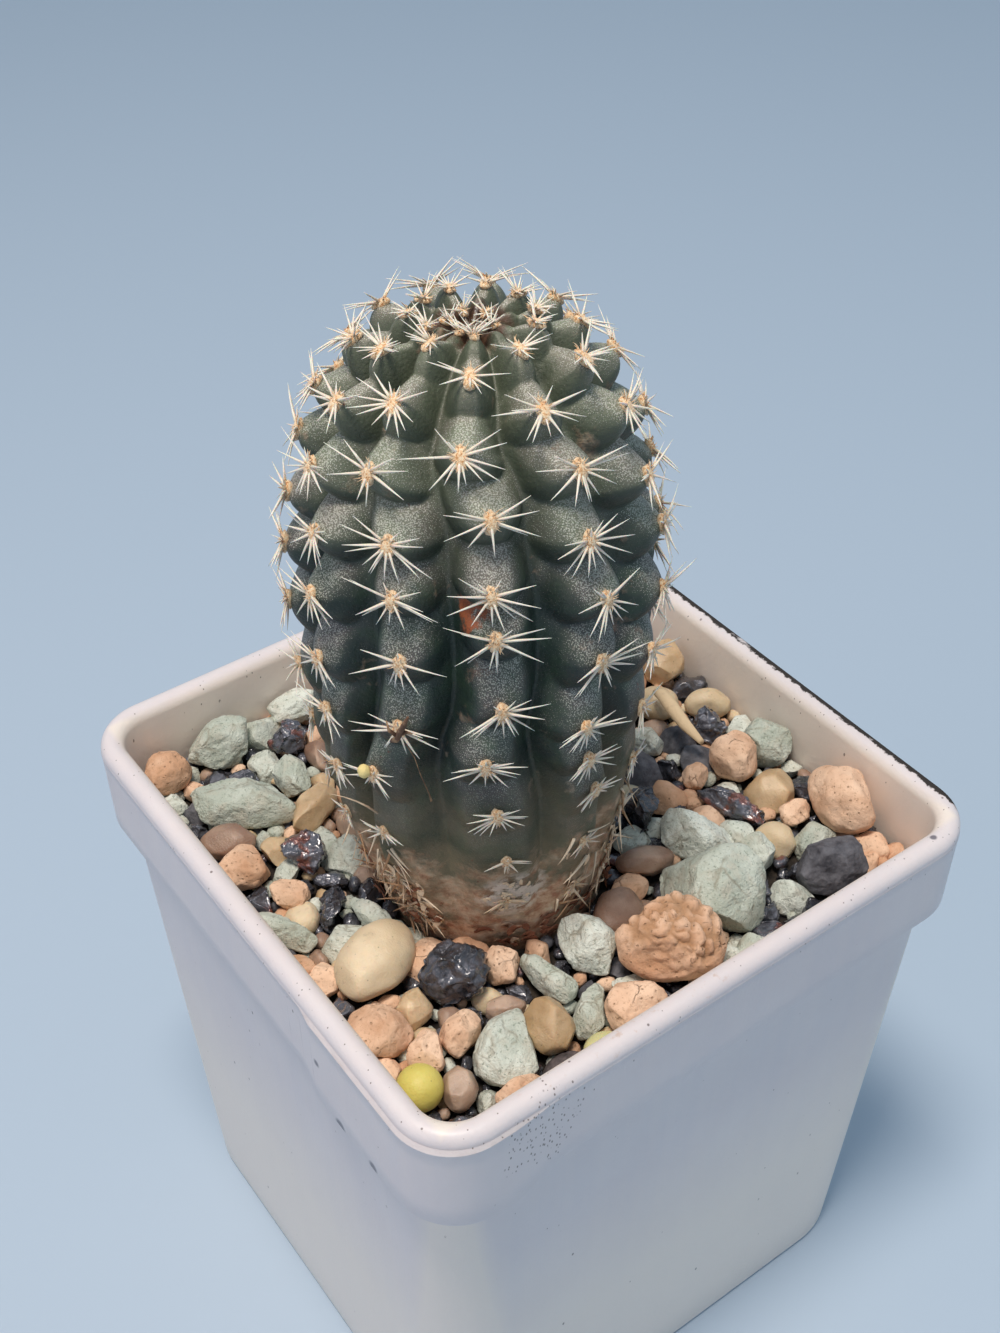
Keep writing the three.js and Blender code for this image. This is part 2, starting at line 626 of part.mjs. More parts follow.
/** The soil fills the pot round a plain hole for the stem. */
function soilGeometry() {
  const holeRows = [...ROOT].reverse().map(([h, r]) => {
    const lowest = r < 3;
    return [GROUND + h - (lowest ? CLEAR : 0), r && r + HOLE_CLEAR];
  });
  const rings = [0.94, 0.82, 0.68, 0.52, 0.36, 0.18, 0];
  const side = [
    [0, FLOOR + CLEAR],
    [innerHalf(FLOOR) - FLOOR_CHAMFER[0] - CLEAR, FLOOR + CLEAR],
    [innerHalf(FLOOR + FLOOR_CHAMFER[1]) - CLEAR, FLOOR + FLOOR_CHAMFER[1] + CLEAR],
    [innerHalf(SOIL_TOP) - CLEAR, SOIL_TOP - SOIL_EDGE_DROP],
  ];
  const rows = side.length + rings.length + holeRows.length;
  const edge = along(OUTLINE, 0) + HOLE_CLEAR;
  const bed = shapedLathe(rows, COLUMNS, (column, row) => {
    if (row < side.length) {
      const [half, z] = side[row];
      return [...onSquare(column, half, cornerAt(half, z)), z];
    }
    const half = innerHalf(SOIL_TOP) - CLEAR;
    const [wallX, wallY] = onSquare(column, half, cornerAt(half, SOIL_TOP));
    const [stemX, stemY] = axisAt(0);
    const bearing = Math.atan2(wallY - stemY, wallX - stemX);
    const ring = row - side.length;
    if (ring < rings.length) {
      const x = lerp(stemX + edge * Math.cos(bearing), wallX, rings[ring]);
      const y = lerp(stemY + edge * Math.sin(bearing), wallY, rings[ring]);
      return [x, y, soilHeight(x, y)];
    }
    const [z, r] = holeRows[ring - rings.length];
    return [stemX + r * Math.cos(bearing), stemY + r * Math.sin(bearing), z];
  });
  const small = smallStones.map((stone, k) => solid(
    stoneGeometry(stone, stones.length + k).translate(...stone.middle),
  ));
  return geometryOf(largest(wasm.Manifold.union([solid(bed), ...small])));
}

// ---------------------------------------------------------------- assembly

function piece(name, material, geometry) {
  const mesh = new THREE.Mesh(geometry, material);
  mesh.name = name;
  return mesh;
}

const stoneMeshes = stones.map((stone, k) => {
  const mesh = piece(stone.name, MATERIALS[stone.kind], stoneGeometry(stone, k));
  mesh.position.copy(stone.middle);
  return mesh;
});

const pottedCactus = new THREE.Group();
pottedCactus.add(piece("pot", MATERIALS.pot, potGeometry()));
pottedCactus.add(piece("soil", MATERIALS.soil, soilGeometry()));
pottedCactus.add(piece("cactus", MATERIALS.cactus, cactusGeometry()));
pottedCactus.add(...stoneMeshes);

export default pottedCactus;
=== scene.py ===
import functools
import math
import random

import bmesh
import bpy
from mathutils import Matrix, Vector, noise
from mathutils.bvhtree import BVHTree
from mathutils.kdtree import KDTree


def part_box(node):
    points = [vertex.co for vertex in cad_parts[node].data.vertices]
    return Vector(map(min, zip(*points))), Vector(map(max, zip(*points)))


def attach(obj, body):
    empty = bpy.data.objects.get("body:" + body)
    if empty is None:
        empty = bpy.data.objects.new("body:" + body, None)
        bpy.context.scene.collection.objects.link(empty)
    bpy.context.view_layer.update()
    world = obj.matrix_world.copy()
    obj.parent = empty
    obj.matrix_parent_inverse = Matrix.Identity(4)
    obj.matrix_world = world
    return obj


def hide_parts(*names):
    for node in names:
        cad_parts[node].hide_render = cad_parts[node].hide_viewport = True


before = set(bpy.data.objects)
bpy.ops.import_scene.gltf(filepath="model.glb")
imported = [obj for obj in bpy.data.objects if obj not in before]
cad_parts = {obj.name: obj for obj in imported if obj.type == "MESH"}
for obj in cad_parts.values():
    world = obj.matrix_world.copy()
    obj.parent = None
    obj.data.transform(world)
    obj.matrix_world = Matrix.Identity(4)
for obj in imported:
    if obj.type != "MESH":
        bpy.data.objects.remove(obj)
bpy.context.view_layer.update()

MM = 0.001


# ------------------------------------------------------------------ camera
# Seen from above a corner of the pot, about 18 cm away, so that two sides,
# the whole rim and the stones round the stem show.

EYE = Vector((-77.779, -104.782, 200.188)) * MM
LINE_OF_SIGHT = Vector((0.44371, 0.61652, -0.65041))
ROLL = math.radians(0.53)
LENS = 45.42
SENSOR = 36

camera_data = bpy.data.cameras.new("camera")
camera_data.lens = LENS
camera_data.sensor_fit = "VERTICAL"
camera_data.sensor_height = SENSOR
camera_data.clip_start = 0.01
camera = bpy.data.objects.new("camera", camera_data)
aim = LINE_OF_SIGHT.to_track_quat("-Z", "Y").to_matrix().to_4x4()
camera.matrix_world = Matrix.Translation(EYE) @ aim @ Matrix.Rotation(-ROLL, 4, "Z")
bpy.context.scene.collection.objects.link(camera)
bpy.context.scene.camera = camera


# ------------------------------------------------------------------ floor and light
# A pale studio floor that runs on past the picture, a warm lamp nearly overhead
# as the main light, two large soft ones at the sides and a bluish sky all round.

FLOOR_SIZE = 20.0
FLOOR_COLOUR = (0.45, 0.55, 0.66, 1)
SKY_COLOUR = (0.68, 0.84, 1.0, 1)
SKY_STRENGTH = 0.45
LAMP_TARGET = Vector((0, 0, 0.08))
LAMPS = {
    # name: (place, size, watts, colour)
    "main": ((-0.13, -0.06, 0.72), 0.16, 3.7, (1.0, 0.90, 0.80)),
    "left": ((-0.62, 0.05, 0.42), 0.40, 0.52, (1.0, 0.78, 0.76)),
    "right": ((0.54, -0.18, 0.36), 0.40, 0.14, (0.62, 0.80, 1.0)),
}

bm = bmesh.new()
bmesh.ops.create_grid(bm, x_segments=8, y_segments=8, size=FLOOR_SIZE / 2)
floor_mesh = bpy.data.meshes.new("floor")
bm.to_mesh(floor_mesh)
bm.free()
floor = bpy.data.objects.new("floor", floor_mesh)
bpy.context.scene.collection.objects.link(floor)
floor_paint = bpy.data.materials.new("floor_paint")
floor_paint.use_nodes = True
floor_shader = floor_paint.node_tree.nodes["Principled BSDF"]
floor_shader.inputs["Base Color"].default_value = FLOOR_COLOUR
floor_shader.inputs["Roughness"].default_value = 0.7
floor_mesh.materials.append(floor_paint)

for name, (place, size, watts, colour) in LAMPS.items():
    lamp_data = bpy.data.lights.new(name, "AREA")
    lamp_data.size = size
    lamp_data.energy = watts
    lamp_data.color = colour
    lamp = bpy.data.objects.new(name, lamp_data)
    lamp.location = place
    lamp.rotation_euler = (LAMP_TARGET - lamp.location).to_track_quat("-Z", "Y").to_euler()
    bpy.context.scene.collection.objects.link(lamp)

sky = bpy.data.worlds.new("sky")
sky.use_nodes = True
sky.node_tree.nodes["Background"].inputs["Color"].default_value = SKY_COLOUR
sky.node_tree.nodes["Background"].inputs["Strength"].default_value = SKY_STRENGTH
bpy.context.scene.world = sky
bpy.context.scene.view_settings.view_transform = "Standard"


# ------------------------------------------------------------------ pot
# A square plant pot of thin white plastic, injection moulded in one piece.
# Its walls taper, a deeper band stiffens the rim, and the mould left a fine
# parting line under the rim and a step in the band at the front corner.

POT_HEIGHT = 73.8
RIM_HALF = 35.0
RIM_THICK = 2.64
RIM_ROUND = 1.3
BAND_FOOT = 62.2
BAND_DEEPER = 1.8
BAND_PROUDER = 0.010  # share of the half-width
UNDER_BAND_HALF = 33.5
BASE_HALF = 31.7
BASE_ROUND = 0.8
WALL = 1.6
POT_FLOOR = 1.8
RIM_CORNER = 6.4
BASE_CORNER = 9.3
CORNER_COLUMNS = 16
SIDE_COLUMNS = 28
PARTING_LINE = 1.6  # below the rim's top
ROUND_STEPS = 8  # rows round each edge of the rim
DRAIN_SEGMENTS = 24
DRAIN_RADIUS = 3.5
DRAIN_OFFSET = 15.0


def mix(a, b, share):
    return a + (b - a) * share


def smooth(low, high, value):
    share = min(max((value - low) / (high - low), 0.0), 1.0)
    return share * share * (3 - 2 * share)


def on_square(turn, half, corner):
    """A point on a square with round corners, at `turn` from 0 to 1 anticlockwise."""
    quarter, share = divmod(turn * 4, 1.0)
    middle = half - corner
    arc = CORNER_COLUMNS / (CORNER_COLUMNS + SIDE_COLUMNS)
    if share < arc:
        angle = math.pi / 2 * share / arc
        point = Vector((middle + corner * math.cos(angle), middle + corner * math.sin(angle)))
    else:
        point = Vector((mix(middle, -middle, (share - arc) / (1 - arc)), half))
    point.rotate(Matrix.Rotation(math.pi / 2 * quarter, 2))
    return point


def outer_half(z):
    return mix(BASE_HALF, UNDER_BAND_HALF, z / BAND_FOOT) if z < BAND_FOOT else RIM_HALF


def inner_half(z):
    return mix(BASE_HALF - WALL, RIM_HALF - RIM_THICK, z / POT_HEIGHT)


def corner_radius(half, z):
    """Corner radius that keeps every line parallel to the outside."""
    return max(mix(BASE_CORNER, RIM_CORNER, z / POT_HEIGHT) - (outer_half(z) - half), 1.0)


def pot_profile():
    """The wall's outline from the base up, over the rim and down, as rows of half-width,
    height and how far the row drops with the deeper part of the band."""
    rows = [(BASE_HALF - 2 * BASE_ROUND, 0, 0)]
    for angle in (0.0, 0.5, 1.05, 1.57):
        rows.append((BASE_HALF - BASE_ROUND + BASE_ROUND * math.sin(angle),
                     BASE_ROUND - BASE_ROUND * math.cos(angle), 0))
    rows += [(outer_half(z), z, 0) for z in (6, 14, 24, 34, 44, 52, 58)]
    rows += [(UNDER_BAND_HALF, BAND_FOOT - 0.5, 0.8), (UNDER_BAND_HALF + 0.12, BAND_FOOT - 0.12, 1)]
    rows += [(UNDER_BAND_HALF + 0.45, BAND_FOOT, 1), (RIM_HALF - 0.5, BAND_FOOT, 1)]
    rows += [(RIM_HALF - 0.16, BAND_FOOT + 0.14, 1), (RIM_HALF, BAND_FOOT + 0.5, 1)]
    rows += [(RIM_HALF, z, 0.5) for z in (64.5, 67, 69.5, 71)]
    line = POT_HEIGHT - PARTING_LINE
    rows += [(RIM_HALF, line - 0.16, 0), (RIM_HALF + 0.04, line - 0.05, 0),
             (RIM_HALF + 0.04, line + 0.03, 0), (RIM_HALF - 0.02, line + 0.12, 0)]
    for step in range(ROUND_STEPS + 1):
        angle = math.pi / 2 * step / ROUND_STEPS
        rows.append((RIM_HALF - RIM_ROUND * (1 - math.cos(angle)),
                     POT_HEIGHT - RIM_ROUND * (1 - math.sin(angle)), 0))
    for step in range(1, ROUND_STEPS + 1):
        angle = math.pi / 2 * (1 - step / ROUND_STEPS)
        rows.append((RIM_HALF - RIM_THICK + RIM_ROUND * (1 - math.cos(angle)),
                     POT_HEIGHT - RIM_ROUND * (1 - math.sin(angle)), 0))
    rows += [(inner_half(z), z, 0) for z in (70, 66, 62, 54, 44, 32, 20, 10, POT_FLOOR + 2.2)]
    return rows + [(inner_half(POT_FLOOR + 1) - 0.3, POT_FLOOR + 0.9, 0),
                   (inner_half(POT_FLOOR) - 1.2, POT_FLOOR, 0)]


def new_piece(name, bm, material, slot, *nodes):
    """Makes the bmesh a piece that rides on the pot and stands for the nodes given."""
    mesh = bpy.data.meshes.new(name)
    bm.to_mesh(mesh)
    bm.free()
    mesh.shade_smooth()
    mesh.materials.append(material)
    piece = bpy.data.objects.new(name, mesh)
    bpy.context.scene.collection.objects.link(piece)
    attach(piece, "root")
    if nodes:
        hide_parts(*nodes)


def ring_edges(ring):
    """The edges between a ring's points, each once and in the ring's order."""
    return list(dict.fromkeys(edge for vert in ring for edge in vert.link_edges))


def grow(bm, edges):
    """Extrudes a loop of edges; gives the points and the edges of the new loop."""
    grown = bmesh.ops.extrude_edge_only(bm, edges=edges)["geom"]
    points = [item for item in grown if isinstance(item, bmesh.types.BMVert)]
    found = set(points)
    return points, [item for item in grown
                    if isinstance(item, bmesh.types.BMEdge) and found.issuperset(item.verts)]


def add(kind, inputs=None, tree=None, **settings):
    """Adds a node; an input is either a value or the output that feeds it."""
    inputs = inputs or {}
    tree = tree or next(value.id_data for value in inputs.values() if hasattr(value, "id_data"))
    node = tree.nodes.new(kind)
    for key, value in settings.items():
        setattr(node, key, value)
    for socket, value in inputs.items():
        if hasattr(value, "id_data"):
            tree.links.new(value, node.inputs[socket])
        else:
            node.inputs[socket].default_value = value
    return node


def ramp(value, *stops):
    """A colour ramp through (place, grey or colour) stops."""
    node = add("ShaderNodeValToRGB", {0: value})
    elements = node.color_ramp.elements
    for k, (place, colour) in enumerate(stops):
        element = elements[k] if k < 2 else elements.new(place)
        element.position = place
        element.color = (colour, colour, colour, 1) if isinstance(colour, (int, float)) else (*colour, 1)
    return node.outputs["Color"]


def blend(share, under, over):
    """One colour laid over another."""
    colours = {k: (*v, 1) if isinstance(v, tuple) else v for k, v in ((6, under), (7, over))}
    return add("ShaderNodeMix", {0: share, **colours}, data_type="RGBA").outputs[2]


def maths(operation, first, second=None, third=None, clamp=False):
    values = {k: v for k, v in enumerate((first, second, third)) if v is not None}
    return add("ShaderNodeMath", values, operation=operation, use_clamp=clamp).outputs[0]


def weighed(value, weight, rest):
    """value times weight, plus the rest."""
    return maths("MULTIPLY_ADD", value, weight, rest)


def product(*factors):
    """All the factors multiplied together."""
    return functools.reduce(lambda total, factor: maths("MULTIPLY", total, factor), factors)


def vectors(operation, inputs, output="Vector"):
    return add("ShaderNodeVectorMath", inputs, operation=operation).outputs[output]


def new_finish(name, **sockets):
    """A material with values set on its shader, and the place of a pattern on it."""
    material = bpy.data.materials.new(name)
    material.use_nodes = True
    shader = material.node_tree.nodes["Principled BSDF"]
    for socket, value in sockets.items():
        shader.inputs[socket.replace("_", " ")].default_value = value
    return material, add("ShaderNodeTexCoord", tree=material.node_tree).outputs["Object"]


def painted(material, colour, height, depth_mm, **outputs):
    """Feeds the shader, and raises the surface by up to depth_mm where height is 1."""
    tree = material.node_tree
    raised = add("ShaderNodeBump", {"Height": height, "Distance": depth_mm * MM, "Strength": 1.0})
    outputs |= {"Base_Color": colour, "Normal": raised.outputs["Normal"]}
    for socket, output in outputs.items():
        tree.links.new(output, tree.nodes["Principled BSDF"].inputs[socket.replace("_", " ")])
    return material


def attribute(place, name):
    """A number that every point of the mesh carries."""
    return add("ShaderNodeAttribute", tree=place.id_data, attribute_name=name).outputs["Fac"]


def grain(place, size_mm, detail=4.0, roughness=0.55):
    """Cloudy noise whose features are about size_mm across."""
    inputs = {"Vector": place, "Scale": 1 / (size_mm * MM), "Detail": detail, "Roughness": roughness}
    return add("ShaderNodeTexNoise", inputs).outputs["Fac"]


def cells(place, size_mm, feature="F1"):
    inputs = {"Vector": place, "Scale": 1 / (size_mm * MM)}
    return add("ShaderNodeTexVoronoi", inputs, feature=feature).outputs["Distance"]


def near(place, spot, reach_mm):
    """1 at a spot of the object, given in mm, fading to 0 at its reach."""
    apart = vectors("DISTANCE", {0: place, 1: [v * MM for v in spot]}, "Value")
    return maths("SUBTRACT", 1.0, maths("DIVIDE", apart, reach_mm * MM), clamp=True)


def past(value, start_mm, soft_mm=0.1):
    """0 before a coordinate in mm, 1 after it."""
    return maths("DIVIDE", maths("SUBTRACT", value, start_mm * MM), soft_mm * MM, clamp=True)


def within(value, low_mm, high_mm, soft_mm=0.1):
    """1 where a coordinate lies between two places, given in mm."""
    after = maths("SUBTRACT", 1.0, past(value, high_mm - soft_mm, soft_mm))
    return product(past(value, low_mm, soft_mm), after)


def white_plastic():
    material, place = new_finish("white_plastic", Subsurface_Scale=0.002,
                                 Subsurface_Radius=(1.0, 0.8, 0.7))
    x, y, z = add("ShaderNodeSeparateXYZ", {0: place}).outputs
    clouds = grain(place, 14, detail=5)
    patch = grain(place, 3.2, detail=4)
    colour = ramp(clouds, (0.3, (0.725, 0.66, 0.665)), (0.7, (0.765, 0.705, 0.705)))
    # Faint upright streaks where the plastic flowed into the mould.
    upright = add("ShaderNodeMapping", {"Vector": place, "Scale": (1.0, 1.0, 0.03)}).outputs[0]
    streak = ramp(grain(upright, 3.0, detail=4), (0.35, 0.10), (0.6, 0.0))
    colour = blend(streak, colour, (0.55, 0.55, 0.64))
    # The inner walls are tinted beige.
    furthest = maths("MAXIMUM", maths("ABSOLUTE", x), maths("ABSOLUTE", y))
    inside = weighed(past(furthest, 32.4, 0.7), -0.6, 0.6)
    colour = blend(inside, colour, (0.92, 0.82, 0.70))
    outside = past(furthest, 34.2, 0.3)
    # Dirt has caught in the parting line. Under the deeper part of the band, a dark line is painted shade.
    broken = ramp(patch, (0.40, 0.15), (0.62, 1.0))
    line = product(within(z, 72.08, 72.3), outside, broken, 0.45)
    colour = blend(line, colour, (0.36, 0.26, 0.22))
    # Painted shade: a dark line along the foot of the deeper band on the -X side.
    plate = within(y, -40, -13)
    on_left = past(product(x, -1.0), 33.0, 0.3)
    under = product(within(z, 60.0, 60.75, 0.2), plate, on_left, broken, 0.55)
    colour = blend(under, colour, (0.25, 0.22, 0.27))
    # Three fine upright marks cross the band.
    for place_y in (-9.6, -11.9, -14.3):
        mark = product(within(y, place_y - 0.07, place_y + 0.07, 0.06), within(z, 63, 70.5, 1.5),
                       on_left, broken, 0.5)
        colour = blend(mark, colour, (0.36, 0.33, 0.38))
    # Specks of potting soil: sparse on the walls, more along the rim, dense on the
    # band near the front corner.
    cluster = near(place, (-23.0, -35, 68), 7.5)
    on_rim = product(past(z, 70, 2.2), 0.22)
    amount = weighed(cluster, 0.9, maths("ADD", on_rim, maths("SUBTRACT", patch, 0.62)))
    drawn_out = add("ShaderNodeMapping", {"Vector": place, "Scale": (1.0, 1.0, 0.55)}).outputs[0]
    for size, low, high, share in ((0.42, 0.20, 0.27, 0.76), (0.8, 0.07, 0.11, 0.50),
                                   (2.6, 0.045, 0.065, 0.40)):
        dots = ramp(cells(drawn_out, size), (low, 1.0), (high, 0.0))
        shown = ramp(maths("ADD", amount, 0.5), (share, 0.0), (share + 0.06, 0.8))
        colour = blend(product(dots, shown), colour, (0.13, 0.09, 0.08))
    # Rusty grains lie along the front right rim.
    rusty = product(ramp(grain(place, 1.3, detail=6), (0.60, 0.0), (0.68, 1.0)),
                    within(z, 72.8, 75, 0.4), within(x, -26, 2, 4), within(y, -36, -30, 1), 0.5)
    colour = blend(rusty, colour, (0.55, 0.36, 0.24))
    # Dark smudges on the band and the rim, and two violet stains by the front corner.
    for spot, reach in (((-35, -18.8, 60.9), 1.6), ((-35, -24.6, 61.2), 1.3), ((-35, -15.2, 67), 1.0),
                        ((28.4, -33.4, 73.8), 0.7)):
        close = near(place, spot, reach)
        ragged = weighed(patch, 0.7, maths("SUBTRACT", close, 0.35))
        colour = blend(ramp(product(ragged, close), (0.10, 0.0), (0.34, 0.85)), colour, (0.12, 0.11, 0.14))
    for spot in ((-34.9, -33.2, 65.4), (-34.2, -34.7, 66.2)):
        stain = ramp(near(place, spot, 0.9), (0.3, 0.0), (0.8, 0.6))
        colour = blend(stain, colour, (0.30, 0.22, 0.36))
    # A black crust of algae and soil lies along the outer edge of the back right rim.
    ragged = weighed(grain(place, 1.0, detail=6, roughness=0.65), 0.0016, x)
    edge = past(ragged, 34.45, 0.15)
    low = weighed(patch, 0.0022, z)
    thinning = weighed(within(y, -35, 26, 12), 0.22, grain(place, 5.0, detail=5))
    crust = product(edge, past(low, 73.2, 0.5), ramp(thinning, (0.52, 0.0), (0.60, 0.97)))
    colour = blend(crust, colour, (0.03, 0.026, 0.024))
    fine = weighed(grain(place, 0.5, detail=3), 0.6, clouds)
    return painted(material, colour, weighed(crust, 1.5, fine), 0.06,
                   Roughness=weighed(crust, 0.55, 0.42),
                   Specular_IOR_Level=weighed(crust, -0.5, 0.5),
                   Subsurface_Weight=weighed(crust, -0.12, 0.12))


bm = bmesh.new()
turn_layer = bm.verts.layers.float.new("turn")
columns = 4 * (CORNER_COLUMNS + SIDE_COLUMNS)
loop = bmesh.ops.create_circle(bm, segments=columns, radius=1.0)["verts"]
loop.sort(key=lambda v: math.atan2(v.co.y, v.co.x) % math.tau)
for k, vert in enumerate(loop):
    vert[turn_layer] = k / columns
edges = list(bm.edges)
for number, (half, z, on_band) in enumerate(pot_profile()):
    if number:
        loop, edges = grow(bm, edges)
    for vert in loop:
        x, y = on_square(vert[turn_layer], half, corner_radius(half, z))
        # Along the last third of the -X side, round the front corner, the band is deeper and prouder.
        along_x_side = smooth(-12.2, -13.2, y) * (x < 0) * (1 - smooth(-26, -22, x) * (y < -30))
        proud = (on_band > 0 or z > BAND_FOOT) and z < POT_HEIGHT - 1.5 and half > 34
        away = 1 + BAND_PROUDER * along_x_side * proud
        vert.co = (x * away * MM, y * away * MM, (z - BAND_DEEPER * along_x_side * on_band) * MM)
# The floor is filled in round four drain holes, inside and under the base.
base_edges = [edge for edge in bm.edges if edge.is_boundary and edge not in edges]
for sx, sy in ((1, 1), (-1, 1), (-1, -1), (1, -1)):
    holes = []
    for z, rim_edges in ((0, base_edges), (POT_FLOOR, edges)):
        middle = Matrix.Translation(Vector((sx * DRAIN_OFFSET, sy * DRAIN_OFFSET, z)) * MM)
        ring = bmesh.ops.create_circle(bm, segments=DRAIN_SEGMENTS, radius=DRAIN_RADIUS * MM,
                                       matrix=middle)["verts"]
        hole = ring_edges(ring)
        rim_edges += hole
        holes += hole
    bmesh.ops.bridge_loops(bm, edges=holes)
for rim_edges in (base_edges, edges):
    bmesh.ops.triangle_fill(bm, edges=rim_edges, use_beauty=True)
bmesh.ops.recalc_face_normals(bm, faces=bm.faces)
new_piece("flower_pot", bm, white_plastic(), "pot", "pot")


# ------------------------------------------------------------------ potting mix
# The pot is filled with dark, crumbly potting mix to about a centimetre below
# the rim. It hardly shows between the stones that cover it.

SOIL_TOP = 64.5
SOIL_CLEAR = 0.3
SOIL_GRID = 110
CRUMB_SIZE = 2.2
CRUMB_HEIGHT = 0.3
STEM_FOOT = Vector((-5.5, -2.5))
STEM_FOOT_RADIUS = 12.2


def dark_mix():
    material, place = new_finish("dark_potting_mix", Roughness=0.95)
    colour = ramp(grain(place, 1.6, detail=6), (0.35, (0.012, 0.010, 0.009)),
                  (0.65, (0.05, 0.038, 0.028)))
    return painted(material, colour, grain(place, 0.7, detail=6), 0.5)


bm = bmesh.new()
bmesh.ops.create_grid(bm, x_segments=SOIL_GRID, y_segments=SOIL_GRID, size=1.0)
for vert in bm.verts:
    # The grid's square rings become rings with the pot's round corners.
    x, y = vert.co.x, vert.co.y
    ring = max(abs(x), abs(y))
    half = (inner_half(SOIL_TOP) - SOIL_CLEAR) * ring
    corner = corner_radius(inner_half(SOIL_TOP), SOIL_TOP) * ring
    flat = Vector((x, y)) / max(ring, 1e-6) * half
    over = Vector((max(abs(flat.x) - (half - corner), 0), max(abs(flat.y) - (half - corner), 0)))
    if over.length > corner > 0:
        over *= corner / over.length
        flat = Vector((math.copysign(half - corner + over.x, x),
                       math.copysign(half - corner + over.y, y)))
    crumbs = noise.fractal(Vector((flat.x, flat.y, 0)) / CRUMB_SIZE, 0.8, 2.0, 4)
    vert.co = (flat.x * MM, flat.y * MM, (SOIL_TOP - 0.35 + CRUMB_HEIGHT * crumbs) * MM)
side_edges = [edge for edge in bm.edges if edge.is_boundary]
bottom = POT_FLOOR + SOIL_CLEAR
shrink = (inner_half(bottom) - SOIL_CLEAR - 0.6) / (inner_half(SOIL_TOP) - SOIL_CLEAR)
for vert in grow(bm, side_edges)[0]:
    vert.co = (vert.co.x * shrink, vert.co.y * shrink, bottom * MM)
bmesh.ops.edgeloop_fill(bm, edges=[edge for edge in bm.edges if edge.is_boundary])
bmesh.ops.recalc_face_normals(bm, faces=bm.faces)
new_piece("potting_mix", bm, dark_mix(), "soil", "soil")


# ------------------------------------------------------------------ stones
# The top dressing is a mix of crushed and water-worn stones: pale green
# zeolite, orange fired clay, black glassy slag, river pebbles and charcoal.

STONE_DETAIL = 5  # icosphere steps of a stone that has a node of its own
BROKEN_OFF = 0.96  # how much of what stands out over a broken face is gone
PITTED_CLAY = "lava_1"


def mottled(place, size_mm, dark, light, tint_share=0.4):
    """Cloudy colour from dark to light, shifted by each stone's own tint."""
    tint = attribute(place, "tint")
    clouds = weighed(tint, tint_share, grain(place, size_mm, detail=6))
    return ramp(clouds, (0.3 + tint_share / 2, dark), (0.7 + tint_share / 2, light))


def cracks(place, size_mm, width):
    """1 along fine wandering cracks between cells of about size_mm."""
    wander = add("ShaderNodeTexNoise", {"Vector": place, "Scale": 1.4 / (size_mm * MM), "Detail": 4.0})
    offset = vectors("SUBTRACT", {0: wander.outputs["Color"], 1: (0.5, 0.5, 0.5)})
    offset = vectors("SCALE", {0: offset, "Scale": size_mm * MM * 0.7})
    bent = vectors("ADD", {0: place, 1: offset})
    return ramp(cells(bent, size_mm, feature="DISTANCE_TO_EDGE"), (0.0, 1.0), (width, 0.0))


def zeolite_stone():
    material, place = new_finish("zeolite", Roughness=0.85)
    body = mottled(place, 3.5, (0.50, 0.55, 0.47), (0.82, 0.86, 0.78))
    warm = ramp(grain(place, 1.8, detail=6), (0.50, 0.0), (0.66, 0.5))
    colour = blend(warm, body, (0.58, 0.53, 0.43))
    fleck = ramp(grain(place, 0.4, detail=3, roughness=0.7), (0.34, 0.7), (0.42, 0.0))
    colour = blend(fleck, colour, (0.20, 0.25, 0.19))
    vein = product(cracks(place, 3.2, 0.07), ramp(grain(place, 2.5), (0.45, 0.0), (0.6, 0.6)))
    colour = blend(vein, colour, (0.26, 0.22, 0.15))
    rough = maths("ADD", grain(place, 1.2, detail=8, roughness=0.65), grain(place, 0.25))
    return painted(material, colour, weighed(vein, -0.6, rough), 0.22)


def fired_clay():
    material, place = new_finish("fired_clay", Roughness=0.92)
    body = mottled(place, 3.5, (0.66, 0.38, 0.23), (0.95, 0.67, 0.48))
    crack = product(cracks(place, 3.6, 0.022), ramp(grain(place, 3.0), (0.54, 0.0), (0.64, 0.7)))
    colour = blend(crack, body, (0.42, 0.24, 0.14))
    pits = ramp(cells(place, 0.8), (0.10, 1.0), (0.18, 0.0))
    dust = ramp(grain(place, 0.35, detail=4), (0.34, 0.5), (0.44, 0.0))
    colour = blend(maths("MAXIMUM", dust, product(pits, 0.7)), colour, (0.48, 0.28, 0.16))
    # The largest piece burst into deep pores as it was fired; their colour is darkened as painted shade.
    pore = attribute(place, "pore")
    colour = blend(product(pore, 0.8), colour, (0.40, 0.22, 0.11))
    height = weighed(crack, -0.8, grain(place, 0.7, detail=8, roughness=0.65))
    return painted(material, colour, weighed(pits, -0.5, height), 0.26)


def glassy_slag():
    material, place = new_finish("glassy_slag", Roughness=0.24, Metallic=0.45, Coat_Weight=1.0,
                                 Coat_Roughness=0.06)
    body = mottled(place, 1.6, (0.020, 0.021, 0.028), (0.15, 0.155, 0.19), tint_share=0.2)
    tint = attribute(place, "tint")
    rusty = product(ramp(grain(place, 2.0, detail=5), (0.54, 0.0), (0.62, 0.9)),
                    ramp(tint, (0.7, 0.0), (0.8, 1.0)))
    colour = blend(rusty, body, (0.22, 0.075, 0.055))
    return painted(material, colour, grain(place, 0.45, detail=5, roughness=0.6), 0.2)


def matt_charcoal():
    material, place = new_finish("matt_charcoal", Roughness=0.7)
    body = mottled(place, 1.5, (0.05, 0.05, 0.062), (0.20, 0.20, 0.225), tint_share=0.2)
    return painted(material, body, grain(place, 0.6, detail=7, roughness=0.65), 0.3)


